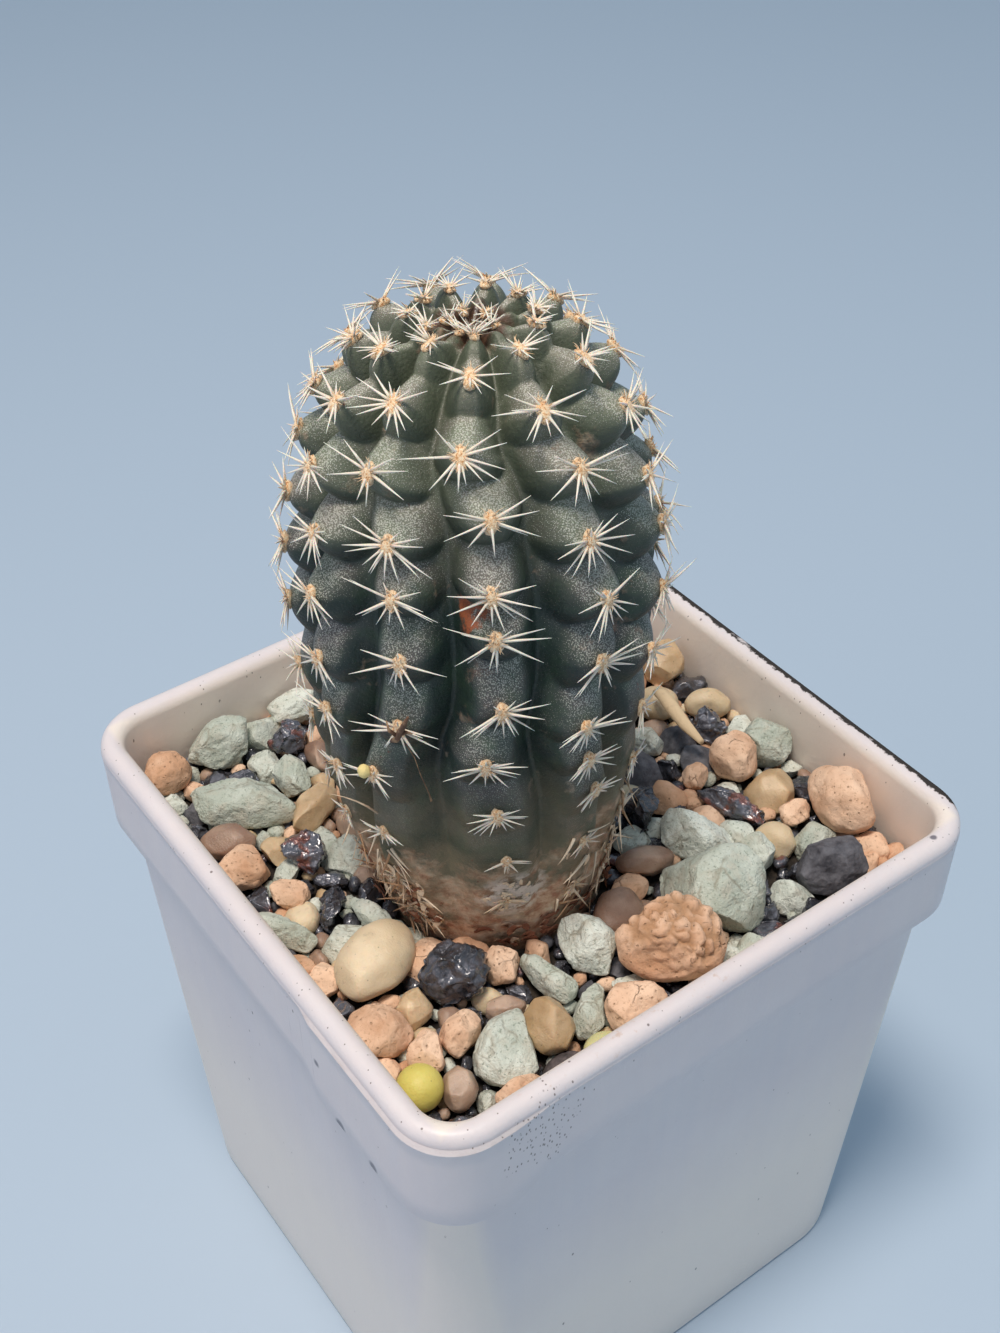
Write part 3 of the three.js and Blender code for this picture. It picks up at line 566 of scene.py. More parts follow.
def river_pebble(name, dark, light, roughness):
    """Worn quartz: a little translucent, with faint clouds, stains and pocks."""
    material, place = new_finish(name, Roughness=roughness, Coat_Weight=0.08, Coat_Roughness=0.35,
                                 Subsurface_Weight=0.3, Subsurface_Scale=0.0012,
                                 Subsurface_Radius=(1.0, 0.6, 0.35))
    colour = mottled(place, 4.0, dark, light)
    stain = ramp(grain(place, 0.9, detail=5), (0.60, 0.0), (0.75, 0.4))
    colour = blend(stain, colour, tuple(0.5 * c for c in dark))
    pock = ramp(cells(place, 1.1), (0.05, 0.6), (0.09, 0.0))
    colour = blend(pock, colour, tuple(0.4 * c for c in dark))
    return painted(material, colour, maths("ADD", grain(place, 1.6, detail=3), grain(place, 0.2)), 0.07)


def bark():
    material, place = new_finish("bark", Roughness=0.75)
    colour = ramp(grain(place, 0.8, detail=6), (0.3, (0.03, 0.024, 0.024)),
                  (0.75, (0.15, 0.12, 0.12)))
    return painted(material, colour, grain(place, 0.35, detail=6), 0.15)


KINDS = {
    # kind: (what it is made of, how much larger it stands than its node, how often it is
    #        smoothed, its share of a true ellipsoid, how many faces it broke along, how far
    #        in they lie, how often its edges were rubbed after that, and the size and depth
    #        in mm of its lumps, of its pits and of its bubbles)
    "cream_pebble": (river_pebble("cream_pebble", (0.60, 0.46, 0.29), (0.80, 0.66, 0.46), 0.55),
                     1.06, 4, 0.0, 6, 0.80, 8, (4, 0.12), (1.2, 0.02), None),
    "amber_pebble": (river_pebble("amber_pebble", (0.44, 0.29, 0.15), (0.74, 0.56, 0.36), 0.4),
                     1.16, 4, 0.0, 11, 0.70, 3, (2.2, 0.4), (1.0, 0.05), None),
    "yellow_pebble": (river_pebble("yellow_pebble", (0.70, 0.60, 0.14), (0.82, 0.72, 0.22), 0.45),
                      1.06, 14, 1.0, 0, 1.0, 2, (4, 0.03), (1.0, 0.01), None),
    "olive_pebble": (river_pebble("olive_pebble", (0.46, 0.44, 0.18), (0.62, 0.60, 0.30), 0.45),
                     1.05, 12, 0.7, 1, 0.92, 4, (3, 0.1), (1.0, 0.02), None),
    "brown_pebble": (river_pebble("brown_pebble", (0.28, 0.17, 0.12), (0.56, 0.41, 0.31), 0.4),
                     1.14, 5, 0.0, 8, 0.78, 4, (3, 0.2), (1.0, 0.03), None),
    "zeolite": (zeolite_stone(), 1.22, 2, 0.0, 15, 0.66, 1, (2.0, 0.22), (0.7, 0.12), None),
    "lava": (fired_clay(), 1.14, 6, 0.0, 9, 0.76, 4, (1.8, 0.45), (0.8, 0.10), None),
    "slag": (glassy_slag(), 1.18, 2, 0.0, 9, 0.70, 1, (1.8, 0.9), (0.6, 0.16), (0.95, 0.45)),
    "charcoal": (matt_charcoal(), 1.2, 3, 0.0, 12, 0.68, 1, (2.4, 0.3), (0.5, 0.1), None),
    "bark_chip": (bark(), 1.05, 6, 0.0, 3, 0.9, 2, (1.5, 0.1), (0.5, 0.05), None),
}


def cast_on_node(name, detail):
    """A ball whose points are cast onto the node's solid, and the middle they are cast from."""
    solid = bmesh.new()
    solid.from_mesh(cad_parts[name].data)
    bmesh.ops.remove_doubles(solid, verts=solid.verts, dist=1e-6)
    low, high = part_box(name)
    middle = (low + high) / 2
    tree = BVHTree.FromBMesh(solid)
    ball = bmesh.new()
    bmesh.ops.create_icosphere(ball, subdivisions=detail, radius=1.0)
    for vert in ball.verts:
        hit = tree.ray_cast(middle, vert.co)[0]
        vert.co = hit if hit else middle
    solid.free()
    return ball, middle


def rub(ball, times):
    for _ in range(times):
        bmesh.ops.smooth_vert(ball, verts=ball.verts, factor=0.5, use_axis_x=True, use_axis_y=True,
                              use_axis_z=True)


def tinted(bm, layer_name, value):
    """Gives every point of a bmesh the same number."""
    layer = bm.verts.layers.float.get(layer_name) or bm.verts.layers.float.new(layer_name)
    for vert in bm.verts:
        vert[layer] = value
    return bm


def spread(ball, middle):
    """How far a stone reaches from its middle along each axis."""
    return [max(abs(vert.co[k] - middle[k]) for vert in ball.verts) for k in range(3)]


def weather(ball, middle, seed, grown, rounding, roundness, faces, cut_in, wear, lumps, pits, bubbles,
            pored=False):
    """Rounds a stone at its full size, breaks it along flat faces, rubs its edges and
    roughens it; the numbers are those of the table of kinds."""
    rng = random.Random(seed)
    reach = [far * grown for far in spread(ball, middle)]
    rub(ball, rounding)
    left = spread(ball, middle)
    for vert in ball.verts:
        point = Vector((vert.co[k] - middle[k]) / left[k] for k in range(3))
        point = point.lerp(point.normalized(), roundness)
        vert.co = middle + Vector(point[k] * reach[k] for k in range(3))
    planes = []
    for _ in range(faces):
        normal = Vector((rng.gauss(0, 1), rng.gauss(0, 1), rng.gauss(0.3, 0.9))).normalized()
        furthest = max((vert.co - middle).dot(normal) for vert in ball.verts)
        planes.append((normal, furthest * rng.uniform(cut_in, min(cut_in + 0.16, 1.0))))
    for vert in ball.verts:
        point = vert.co - middle
        for normal, limit in planes:
            point -= normal * max(point.dot(normal) - limit, 0) * BROKEN_OFF
        vert.co = middle + point
    rub(ball, wear)
    offset = Vector([rng.uniform(0, 50) for _ in range(3)])
    tinted(ball, "tint", rng.random())
    pore_layer = ball.verts.layers.float.new("pore")
    ball.normal_update()
    moved = []
    for vert in ball.verts:
        spot = vert.co / MM + offset
        inward = (0.5 + 0.5 * noise.noise(spot / lumps[0])) * lumps[1]
        pit = smooth(0.05, 0.45, noise.noise(spot / pits[0])) + 0.3 * noise.noise(spot / 0.5)
        inward += pit * pits[1]
        if bubbles:
            inward += (noise.voronoi(spot / bubbles[0])[0][0] - 0.4) * bubbles[1]
        if pored:
            bent = spot / 1.7 + Vector((0.3, 0.3, 0.3)) * noise.noise(spot / 1.1)
            first, second = noise.voronoi(bent)[0][:2]
            pore = (1 - smooth(0.04, 0.30, second - first)) * smooth(0.1, 0.6, vert.normal.z)
            inward += 0.65 * pore
            # The pore share also paints shade into the pores' colour.
            vert[pore_layer] = pore
        moved.append(vert.co - vert.normal * inward * MM)
    for vert, place in zip(ball.verts, moved):
        vert.co = place


stone_points = []
for number, name in enumerate(sorted(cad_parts)):
    kind = name.rstrip("0123456789").rstrip("_")
    if kind not in KINDS:
        continue
    material, *form = KINDS[kind]
    ball, middle = cast_on_node(name, STONE_DETAIL)
    weather(ball, middle, number, *form, pored=name == PITTED_CLAY)
    bmesh.ops.recalc_face_normals(ball, faces=ball.faces)
    stone_points += [vert.co / MM for vert in list(ball.verts)[::6]]
    new_piece(f"{name}_stone", ball, material, kind, name)


# ------------------------------------------------------------------ grit
# Smaller stones of the same kinds lie between and under the large ones, in
# layers, down to grit of a millimetre. They were poured in with the rest.

GRIT_MIX = {  # share of each kind
    "zeolite": 0.25, "lava": 0.22, "slag": 0.32, "charcoal": 0.07, "amber_pebble": 0.06,
    "brown_pebble": 0.05, "cream_pebble": 0.03,
}
GRIT_LAYERS = [
    # (height of the middle, largest and smallest half-length, size to room, tries)
    (65.6, 3.7, 2.1, 1.42, 5000), (65.2, 3.0, 1.5, 1.35, 6000), (65.2, 1.9, 0.9, 1.2, 7000),
    (64.8, 1.1, 0.6, 1.1, 6000),
]
COARSE = 1.4  # half-length in mm from which grit is shaped like the large stones
FINE_FACES = 5
FINE_CUT = 0.78
NEIGHBOUR_ROOM = 0.85  # share of a stone's half-length that its neighbours keep off
GRIT_WALL = inner_half(66) - 0.1
GRIT_CORNER = 4
GRIT_CELL = 8  # mm, of the squares in which neighbours are looked for


def cell_of(spot):
    return int(spot.x // GRIT_CELL), int(spot.y // GRIT_CELL)


def room_at(spot, stones, placed):
    """How large a stone fits at a spot between the stem, the pot and the stones there."""
    flat = Vector((spot.x, spot.y))
    room = (flat - STEM_FOOT).length - STEM_FOOT_RADIUS + 0.3
    room = min(room, GRIT_WALL - max(abs(spot.x), abs(spot.y)))
    corner = Vector((max(abs(spot.x) - GRIT_WALL + GRIT_CORNER, 0),
                     max(abs(spot.y) - GRIT_WALL + GRIT_CORNER, 0)))
    if corner.x and corner.y:
        room = min(room, GRIT_CORNER - corner.length)
    if room < 0.4:
        return 0.0
    room = min(room, stones.find(spot)[2])
    column, row = cell_of(spot)
    for dx in (-1, 0, 1):
        for dy in (-1, 0, 1):
            for other, size in placed.get((column + dx, row + dy), ()):
                room = min(room, (other - spot).length - size * NEIGHBOUR_ROOM)
    return room


def pour_grit():
    """Places of the grit: (middle, half-length), the largest that fits at each try."""
    rng = random.Random(21)
    stones = KDTree(len(stone_points))
    for k, point in enumerate(stone_points):
        stones.insert(point, k)
    stones.balance()
    placed = {}
    grit = []
    for z, largest, smallest, to_room, tries in GRIT_LAYERS:
        for _ in range(tries):
            spot = Vector((rng.uniform(-GRIT_WALL, GRIT_WALL), rng.uniform(-GRIT_WALL, GRIT_WALL), z))
            size = min(room_at(spot, stones, placed) * to_room, largest)
            if size < smallest:
                continue
            placed.setdefault(cell_of(spot), []).append((spot, size / to_room))
            grit.append((spot, size))
    return grit


def tumbled(rng, tilt):
    """A chance turn about the upright, after a small tilt."""
    turn = Matrix.Rotation(rng.uniform(0, math.tau), 3, "Z")
    return turn @ Matrix.Rotation(rng.uniform(-tilt, tilt), 3, "X")


def coarse_stone(kind, spot, size, seed):
    """A coarse piece of grit, shaped as the large stones are."""
    rng = random.Random(seed)
    _, _, _, roundness, faces, cut_in, wear, lumps, pits, bubbles = KINDS[kind]
    ball = bmesh.new()
    bmesh.ops.create_icosphere(ball, subdivisions=4, radius=1.0)
    turn = tumbled(rng, 0.6)
    shape = Vector((1.0, rng.uniform(0.62, 0.95), rng.uniform(0.6, 0.9))) * size
    for vert in ball.verts:
        point = vert.co * (1 + 0.25 * noise.noise(vert.co * 0.9 + spot))
        vert.co = (spot + turn @ Vector(point[k] * shape[k] for k in range(3))) * MM
    share = min(size / 4, 1.0)
    weather(ball, spot * MM, seed, 1.0, 0, roundness, faces, cut_in, wear // 3,
            [v * mix(0.6, 1.0, share) for v in lumps], [v * share for v in pits],
            bubbles and [v * mix(0.5, 1.0, share) for v in bubbles])
    return ball


def fine_stone(spot, size, seed):
    """A small broken stone of a few dozen faces."""
    rng = random.Random(seed)
    ball = bmesh.new()
    bmesh.ops.create_icosphere(ball, subdivisions=2, radius=1.0)
    tinted(ball, "tint", rng.random())
    turn = tumbled(rng, 0.5)
    shape = Vector((1.0, rng.uniform(0.62, 1.0), rng.uniform(0.55, 0.9))) * size
    planes = [Vector([rng.gauss(0, 1) for _ in range(3)]).normalized() for _ in range(FINE_FACES)]
    for vert in ball.verts:
        point = vert.co * (1 + 0.2 * noise.noise(vert.co * 1.3 + spot))
        for normal in planes:
            point -= normal * max(point.dot(normal) - FINE_CUT, 0) * 0.9
        vert.co = (spot + turn @ Vector(point[k] * shape[k] for k in range(3))) * MM
    return ball


def append(total, part):
    """Adds one small finished bmesh to the bmesh of the whole piece."""
    bmesh.ops.recalc_face_normals(part, faces=part.faces)
    scrap = bpy.data.meshes.new("scrap")
    part.to_mesh(scrap)
    part.free()
    total.from_mesh(scrap)
    bpy.data.meshes.remove(scrap)


rng = random.Random(8)
heaps = {kind: tinted(bmesh.new(), "tint", 0) for kind in GRIT_MIX}
for number, (spot, size) in enumerate(pour_grit()):
    kind = rng.choices(list(GRIT_MIX), list(GRIT_MIX.values()))[0]
    stone = coarse_stone(kind, spot, size, number) if size > COARSE else fine_stone(spot, size, number)
    append(heaps[kind], stone)
for kind, heap in heaps.items():
    new_piece(f"{kind}_grit", heap, KINDS[kind][0], kind)


# ------------------------------------------------------------------ stem
# The cactus is one swollen green stem. Its eleven ribs are broken up into
# tubercles, each with a shelf above and a rounded chin below its areole. The skin
# is painted paler on the shelves as highlight, and darker under the chins and in
# the furrows as painted shade.

GROUND = 67.0
STEM_MIDDLE = Vector((-6.4, -1.9))
FOOT_SHIFT = Vector((0.9, -0.6))
FOOT_HEIGHT = 16.0
RIBS = 11
FIRST_RIB = 239.5  # bearing in degrees of the rib that faces the camera
OUTLINE = [
    # (height over the stones, radius over the tips of the tubercles)
    (0, 12.2), (5.2, 13.4), (11, 14.7), (18, 15.9), (26, 16.8), (34, 17.4), (42, 17.4),
    (49, 16.5), (55, 14.9), (59.5, 12.6), (62.6, 9.5), (64.2, 6.2), (64.5, 3.9), (63.8, 2.0), (63.3, 0),
]
ROOT = [(-25.5, 0), (-25, 2.2), (-17, 4.2), (-9, 9.4), (-3, 12.0)]
AREOLES_IN_FRONT = {
    # rib: (distance up the outline in mm, turn away from the rib's bearing in degrees)
    -3: ((8, 6), (15, 8), (22, 10), (29.5, 12), (37.5, 12), (44, 12), (49.3, 11), (55.2, 8), (59.4, 5),
         (64.8, 3), (70, 0)),
    -2: ((8, 0), (15, 3), (22.5, 6), (30.3, 7), (36.5, 6.5), (43.5, 5.5), (49.8, 5.5), (54.9, -3),
         (61.1, -2.5), (66.9, -2), (71, 0)),
    -1: ((2.6, -8), (8.8, -8), (16.6, -8), (25.3, -7.5), (33.1, 4.5), (40.9, 6), (47.2, 4), (52.1, 2),
         (57.6, -8), (63.5, -7), (69.6, -8)),
    0: ((7.5, 4), (14.8, 4.5), (22.2, 1), (29.2, -2.5), (36.1, 2.5), (44, 1), (48.3, 0), (55, 0.5),
        (60.2, -9), (66.8, -5.5), (71.6, 0)),
    1: ((6, 3), (13.5, 4), (21.4, 4.5), (26.6, -0.5), (31.2, -3), (38.5, 1), (45, 3), (51.3, -1.5),
        (57.5, 0), (63, -7), (68.6, -0.5)),
    2: ((5, 0), (12, 0), (19.5, -2), (27, -4), (34, -3), (39.5, 5), (46.2, 7), (52.6, 0), (59.1, 2),
        (64.8, -1.5), (69.6, 5)),
}
AREOLES_PER_RIB = 11
CROWN_AREOLES = (73.4, 72.4)  # the innermost areoles, of even and odd ribs
# Depths and half-widths as (distance up the outline, value) pairs.
FURROW = ((0, 0.15), (10, 1.0), (20, 2.4), (30, 3.5), (50, 4.1), (60, 4.0), (66, 3.3), (70, 2.2), (73, 0.9))
NOTCH = ((0, 0.05), (12, 0.25), (20, 0.6), (28, 1.1), (36, 1.8), (44, 2.5), (52, 2.8), (62, 2.3),
         (68, 1.4), (73, 0.6))
CREST = ((40, 0.46), (56, 0.22))  # half-width of a rib's flat crest
KNOB = ((40, 0.80), (56, 0.95))  # half-width of a tubercle
KNOB_ABOVE = 0.68  # share of the way to the next areole above that a tubercle's slope takes
KNOB_BELOW = 0.48  # share of the way to the next areole below that its chin takes
CRUST_MARK = 9.0  # distance up the front rib of a dead, whitened areole
SHOWS = (4, 14)  # distances up the outline between which the shelves and chins begin to show
WRINKLE_SIZE = 3.5
WRINKLE_DEPTH = 0.16
STEM_HEIGHT = 65
STEM_ROWS = 300
COLUMNS_PER_RIB = 26


def along(pairs, x):
    """The value at x of a line through (x, value) pairs."""
    if x <= pairs[0][0]:
        return pairs[0][1]
    for (x0, y0), (x1, y1) in zip(pairs, pairs[1:]):
        if x <= x1:
            return mix(y0, y1, (x - x0) / (x1 - x0))
    return pairs[-1][1]


def outline_points(steps=24):
    """The outline as a smooth curve: (distance, height, radius) at close steps."""
    points = [Vector((r, h)) for h, r in OUTLINE]
    found = []
    for k in range(len(points) - 1):
        before, start, end, after = (points[min(max(k + j, 0), len(points) - 1)] for j in (-1, 0, 1, 2))
        leave, arrive = (end - before) / 2, (after - start) / 2
        for step in range(steps):
            t = step / steps
            found.append((2 * start - 2 * end + leave + arrive) * t ** 3
                         + (3 * end - 3 * start - 2 * leave - arrive) * t ** 2 + leave * t + start)
    found.append(points[-1])
    table = []
    distance = 0.0
    for k, point in enumerate(found):
        distance += (point - found[k - 1]).length if k else 0
        table.append((distance, point.y, max(point.x, 0.0)))
    return table


OUTLINE_TABLE = outline_points()
OUTLINE_LENGTH = OUTLINE_TABLE[-1][0]
HEIGHTS = [(distance, h) for distance, h, _ in OUTLINE_TABLE]
RADII = [(distance, r) for distance, _, r in OUTLINE_TABLE]


@functools.cache
def outline_at(distance):
    """(radius, height, outward normal as radius and height) at a distance up the outline."""
    distance = min(max(distance, 0), OUTLINE_LENGTH)
    ahead, behind = min(distance + 0.3, OUTLINE_LENGTH), max(distance - 0.3, 0)
    slope = Vector(along(pairs, ahead) - along(pairs, behind) for pairs in (RADII, HEIGHTS))
    slope.normalize()
    return along(RADII, distance), along(HEIGHTS, distance), slope.y, -slope.x


def axis_at(h):
    """The middle of the stem at a height over the stones."""
    return STEM_MIDDLE + FOOT_SHIFT * max(0.0, 1 - max(h, 0) / FOOT_HEIGHT) ** 2


def areole_places():
    """For each rib, its areoles as (distance up the outline, turn from the rib's bearing)."""
    rng = random.Random(11)
    found = []
    for rib in range(RIBS):
        from_front = rib - RIBS if rib > RIBS / 2 + 0.5 else rib
        marks = AREOLES_IN_FRONT.get(from_front)
        if marks is None:
            start = 6 + 3.4 * (rib % 2)
            marks = tuple((mix(start, 70, (k / (AREOLES_PER_RIB - 1)) ** 0.82) + rng.uniform(-0.5, 0.5),
                           rng.uniform(-4, 4)) for k in range(AREOLES_PER_RIB))
        found.append((*marks, (max(CROWN_AREOLES[rib % 2], marks[-1][0] + 1.5), 0)))
    return found


AREOLES = areole_places()


def crest_turn(rib, distance):
    """How far a rib's crest is turned away from the rib's bearing at a distance up the outline."""
    return along(AREOLES[rib], distance)


def areoles_around(rib, distance):
    """Distances of the areoles below and above a point of a rib; None at the foot."""
    marks = [mark for mark, _ in AREOLES[rib]]
    for low, high in zip([None, *marks], [*marks, OUTLINE_LENGTH + 1]):
        if distance < high:
            return low, high
    return marks[-1], OUTLINE_LENGTH + 1


@functools.cache
def depths_at(distance):
    """Depths of the furrows and notches, and half-widths of a rib's crest and of its tubercles."""
    return tuple(along(pairs, distance) for pairs in (FURROW, NOTCH, CREST, KNOB))


def skin_depth(rib, side, distance):
    """How far the skin lies inside the outline: a straight shelf rises to each areole
    over a full, rounded chin."""
    furrow, notch, crest, knob = depths_at(distance)
    low, high = areoles_around(rib, distance)
    pitch = high - low if low is not None else high
    across = abs(side / knob) ** 2.2
    chin = ((high - distance) / (pitch * KNOB_BELOW)) ** 2.6 + across
    rise = (distance - low) / (pitch * KNOB_ABOVE) if low is not None else 1.0
    shelf = rise ** 1.15 + across * (1 - 0.6 * min(rise, 1.0))
    sunk = min(chin, shelf, 1.0)
    flank = max((abs(side) - crest) / (1 - crest), 0.0) ** 1.35
    return notch * sunk + (furrow - notch) * flank


def stem_spot(bearing, distance):
    """A place on the stem in mm, and its outward, sideways and upward directions."""
    place = ((bearing - FIRST_RIB) / (360 / RIBS)) % RIBS
    rib = round(place) % RIBS
    r, h, out_r, out_h = outline_at(distance)
    depth = skin_depth(rib, 2 * (place - round(place)), distance)
    angle = math.radians(bearing + crest_turn(rib, distance))
    outward = Vector((out_r * math.cos(angle), out_r * math.sin(angle), out_h))
    sideways = Vector((-math.sin(angle), math.cos(angle), 0))
    r, h = r - depth * out_r, h - depth * out_h
    middle = axis_at(h)
    spot = Vector((middle.x + r * math.cos(angle), middle.y + r * math.sin(angle), GROUND + h))
    return spot, outward, sideways, outward.cross(sideways)


def green_skin():
    """Waxy blue-green skin under dense white flecks, corky and tan towards the foot."""
    material, place = new_finish("green_skin", Roughness=0.46, Subsurface_Weight=0.06,
                                 Subsurface_Scale=0.001, Subsurface_Radius=(0.4, 1.0, 0.4))
    # The shelf, chin and flank shares paint light and shade into the skin's colour.
    shelf, chin, flank, height = (attribute(place, name)
                                  for name in ("shelf", "chin", "flank", "height"))
    clouds = grain(place, 5, detail=5)
    green = ramp(clouds, (0.3, (0.009, 0.019, 0.022)), (0.7, (0.022, 0.044, 0.030)))
    bright = ramp(grain(place, 2.5, detail=4), (0.50, 0.0), (0.75, 0.6))
    green = blend(bright, green, (0.034, 0.078, 0.036))
    young = ramp(height, (0.66, 0.0), (0.90, 1.0))
    green = blend(young, green, (0.160, 0.180, 0.115))
    # Painted shade: the green is darkened under the chins (less near the crown) and on the flanks of the
    # furrows.
    green = blend(product(chin, weighed(young, -0.4, 0.65)), green, (0.008, 0.017, 0.020))
    green = blend(product(flank, 0.35), green, (0.012, 0.026, 0.018))
    # The dented middle of the crown is scarred brown.
    dent = near(place, stem_spot(0, OUTLINE_LENGTH)[0], 4.5)
    dent = product(dent, ramp(grain(place, 1.0, detail=5), (0.35, 0.6), (0.55, 1.6)))
    green = blend(ramp(dent, (0.15, 0.0), (0.5, 0.85)), green, (0.10, 0.045, 0.026))
    # Flecks: tiny scales, fewer low on the stem. They are made denser on the shelves as painted highlight,
    # and fewer under the chins and in the furrows as painted shade.
    patch = ramp(grain(place, 3.0, detail=6), (0.34, 0.0), (0.68, 1.0))
    upper = ramp(height, (0.30, 0.14), (0.62, 0.26))
    amount = weighed(shelf, 0.46, weighed(young, 0.6, upper))
    amount = weighed(patch, 0.26, amount)
    amount = weighed(chin, -0.70, amount)
    amount = maths("MULTIPLY_ADD", flank, -0.42, amount, clamp=True)
    scale = weighed(grain(place, 0.10, detail=3, roughness=0.7), 0.55, cells(place, 0.14))
    reach = weighed(amount, 0.46, 0.40)
    dotted = maths("MULTIPLY", maths("SUBTRACT", reach, scale), 7.0, clamp=True)
    colour = blend(product(dotted, 0.62), green, (0.74, 0.76, 0.68))
    # A pale film follows the fleck amount, so it too is painted highlight on the shelves and painted shade
    # under the chins.
    film_tint = ramp(grain(place, 6, detail=2), (0.4, (0.38, 0.42, 0.32)), (0.6, (0.46, 0.37, 0.35)))
    colour = blend(product(amount, 0.26), colour, film_tint)
    # Towards the foot the skin turns olive, then brown and corky, with a red-brown band at the ground.
    foot = ramp(height, (0.14, 1.0), (0.42, 0.0))
    old = ramp(grain(place, 4.5, detail=6), (0.32, (0.080, 0.110, 0.072)), (0.7, (0.36, 0.29, 0.19)))
    colour = blend(product(foot, 0.8), colour, old)
    low = ramp(height, (0.06, 1.0), (0.28, 0.0))
    cork_noise = weighed(low, 0.34, grain(place, 3.4, detail=8, roughness=0.62))
    cork = ramp(cork_noise, (0.62, 0.0), (0.86, 0.85))
    cork_tone = ramp(grain(place, 1.5, detail=7, roughness=0.65), (0.38, (0.46, 0.20, 0.12)),
                     (0.52, (0.74, 0.50, 0.34)), (0.68, (0.88, 0.73, 0.56)))
    colour = blend(cork, colour, cork_tone)
    crusty = near(place, stem_spot(FIRST_RIB + 4, CRUST_MARK - 1)[0], 4.5)
    crusty = product(ramp(grain(place, 1.5, detail=7), (0.42, 0.0), (0.56, 1.0)), crusty, 2.0)
    colour = blend(ramp(crusty, (0.1, 0.0), (0.8, 0.9)), colour, (0.86, 0.76, 0.68))
    # A rust-red patch lies beside two areoles of the front rib.
    red = near(place, stem_spot(FIRST_RIB - 7.5, 45.6)[0], 2.5)
    red = product(red, ramp(grain(place, 1.0, detail=5), (0.40, 0.2), (0.55, 1.0)))
    colour = blend(ramp(red, (0.12, 0.0), (0.40, 0.9)), colour, (0.36, 0.10, 0.036))
    scar = ramp(grain(place, 1.3, detail=5), (0.71, 0.0), (0.74, 0.9))
    colour = blend(scar, colour, (0.16, 0.04, 0.022))
    rough = maths("ADD", product(dotted, 0.5), grain(place, 0.3, detail=4))
    return painted(material, colour, weighed(cork, 2.0, rough), 0.10)


bm = bmesh.new()
distance_layer = bm.verts.layers.float.new("distance")
chain = []
for h, r in ROOT:
    vert = bm.verts.new((r, 0, h))
    vert[distance_layer] = h - 1
    chain.append(vert)
for row in range(STEM_ROWS + 1):
    distance = OUTLINE_LENGTH * row / STEM_ROWS
    vert = bm.verts.new((along(RADII, distance), 0, along(HEIGHTS, distance)))
    vert[distance_layer] = distance
    chain.append(vert)
spokes = [bm.edges.new(pair) for pair in zip(chain, chain[1:])]
bmesh.ops.spin(bm, geom=chain + spokes, angle=math.tau, steps=RIBS * COLUMNS_PER_RIB, axis=(0, 0, 1),
               cent=(0, 0, 0), use_merge=True)
bmesh.ops.remove_doubles(bm, verts=bm.verts, dist=1e-4)
shelf_highlight_layer, chin_shade_layer, flank_shade_layer, height_layer = (
    bm.verts.layers.float.new(name) for name in ("shelf", "chin", "flank", "height"))
for vert in bm.verts:
    distance = vert[distance_layer]
    r, h = math.hypot(vert.co.x, vert.co.y), vert.co.z
    bearing = math.degrees(math.atan2(vert.co.y, vert.co.x)) - FIRST_RIB
    if distance >= 0:
        place = (bearing / (360 / RIBS)) % RIBS
        rib, beyond = int(place) % RIBS, place - int(place)
        turn = mix(crest_turn(rib, distance), crest_turn((rib + 1) % RIBS, distance), beyond)
        rib = (rib + (beyond > 0.5)) % RIBS
        side = 2 * (beyond - (beyond > 0.5))
        radius, h, out_r, out_h = outline_at(distance)
        fade = smooth(0, 2.0, radius)
        wrinkle = WRINKLE_DEPTH * noise.noise(Vector((vert.co.x, vert.co.y, h)) / WRINKLE_SIZE)
        depth = (skin_depth(rib, side, distance) + wrinkle) * fade
        r, h = max(radius - depth * out_r, 0.0), h - depth * out_h
        bearing += turn
        # The flank share paints shade into the furrows; the chin share paints shade under each areole.
        vert[flank_shade_layer] = smooth(0.72, 0.95, abs(side)) * smooth(*SHOWS, distance)
        low, high = areoles_around(rib, distance)
        under = (high - distance) / ((high - (low or 0)) * KNOB_BELOW)
        vert[chin_shade_layer] = (smooth(0.02, 0.35, under - 0.35 * abs(side))
                            * (1 - smooth(0.75, 1.1, math.hypot(under, side / 0.62))))
    vert[height_layer] = h / STEM_HEIGHT
    angle = math.radians(bearing + FIRST_RIB)
    middle = axis_at(h)
    vert.co = Vector((middle.x + r * math.cos(angle), middle.y + r * math.sin(angle), GROUND + h)) * MM
bmesh.ops.remove_doubles(bm, verts=bm.verts, dist=1e-6)
bmesh.ops.recalc_face_normals(bm, faces=bm.faces)
bm.normal_update()
for vert in bm.verts:
    # Shelves are where the skin faces up more than the outline does, chins where it faces down.
    # These shares paint highlight on the shelves, and shade under the chins and on flanks that face
    # sideways.
    distance = vert[distance_layer]
    out_r, out_h = outline_at(distance)[2:]
    tilt = vert.normal.z - out_h
    from_axis = Vector((vert.co.x, vert.co.y)) - axis_at(vert.co.z / MM - GROUND) * MM
    sideways = abs(vert.normal.x * from_axis.y - vert.normal.y * from_axis.x) / max(from_axis.length, 1e-6)
    shown = smooth(*SHOWS, distance)
    vert[shelf_highlight_layer] = smooth(0.06, 0.42, tilt) * shown * (1 - vert[flank_shade_layer])
    vert[chin_shade_layer] = max(vert[chin_shade_layer], smooth(0.06, 0.45, -tilt)) * shown
    vert[flank_shade_layer] = max(vert[flank_shade_layer], smooth(0.3, 0.75, sideways) * shown)
new_piece("cactus_stem", bm, green_skin(), "cactus", "cactus")


# ------------------------------------------------------------------ areoles and spines
# Each tubercle carries an areole, an oval cushion of orange wool, with a dozen
# stiff ivory spines that spread from it like a star, close to the skin.

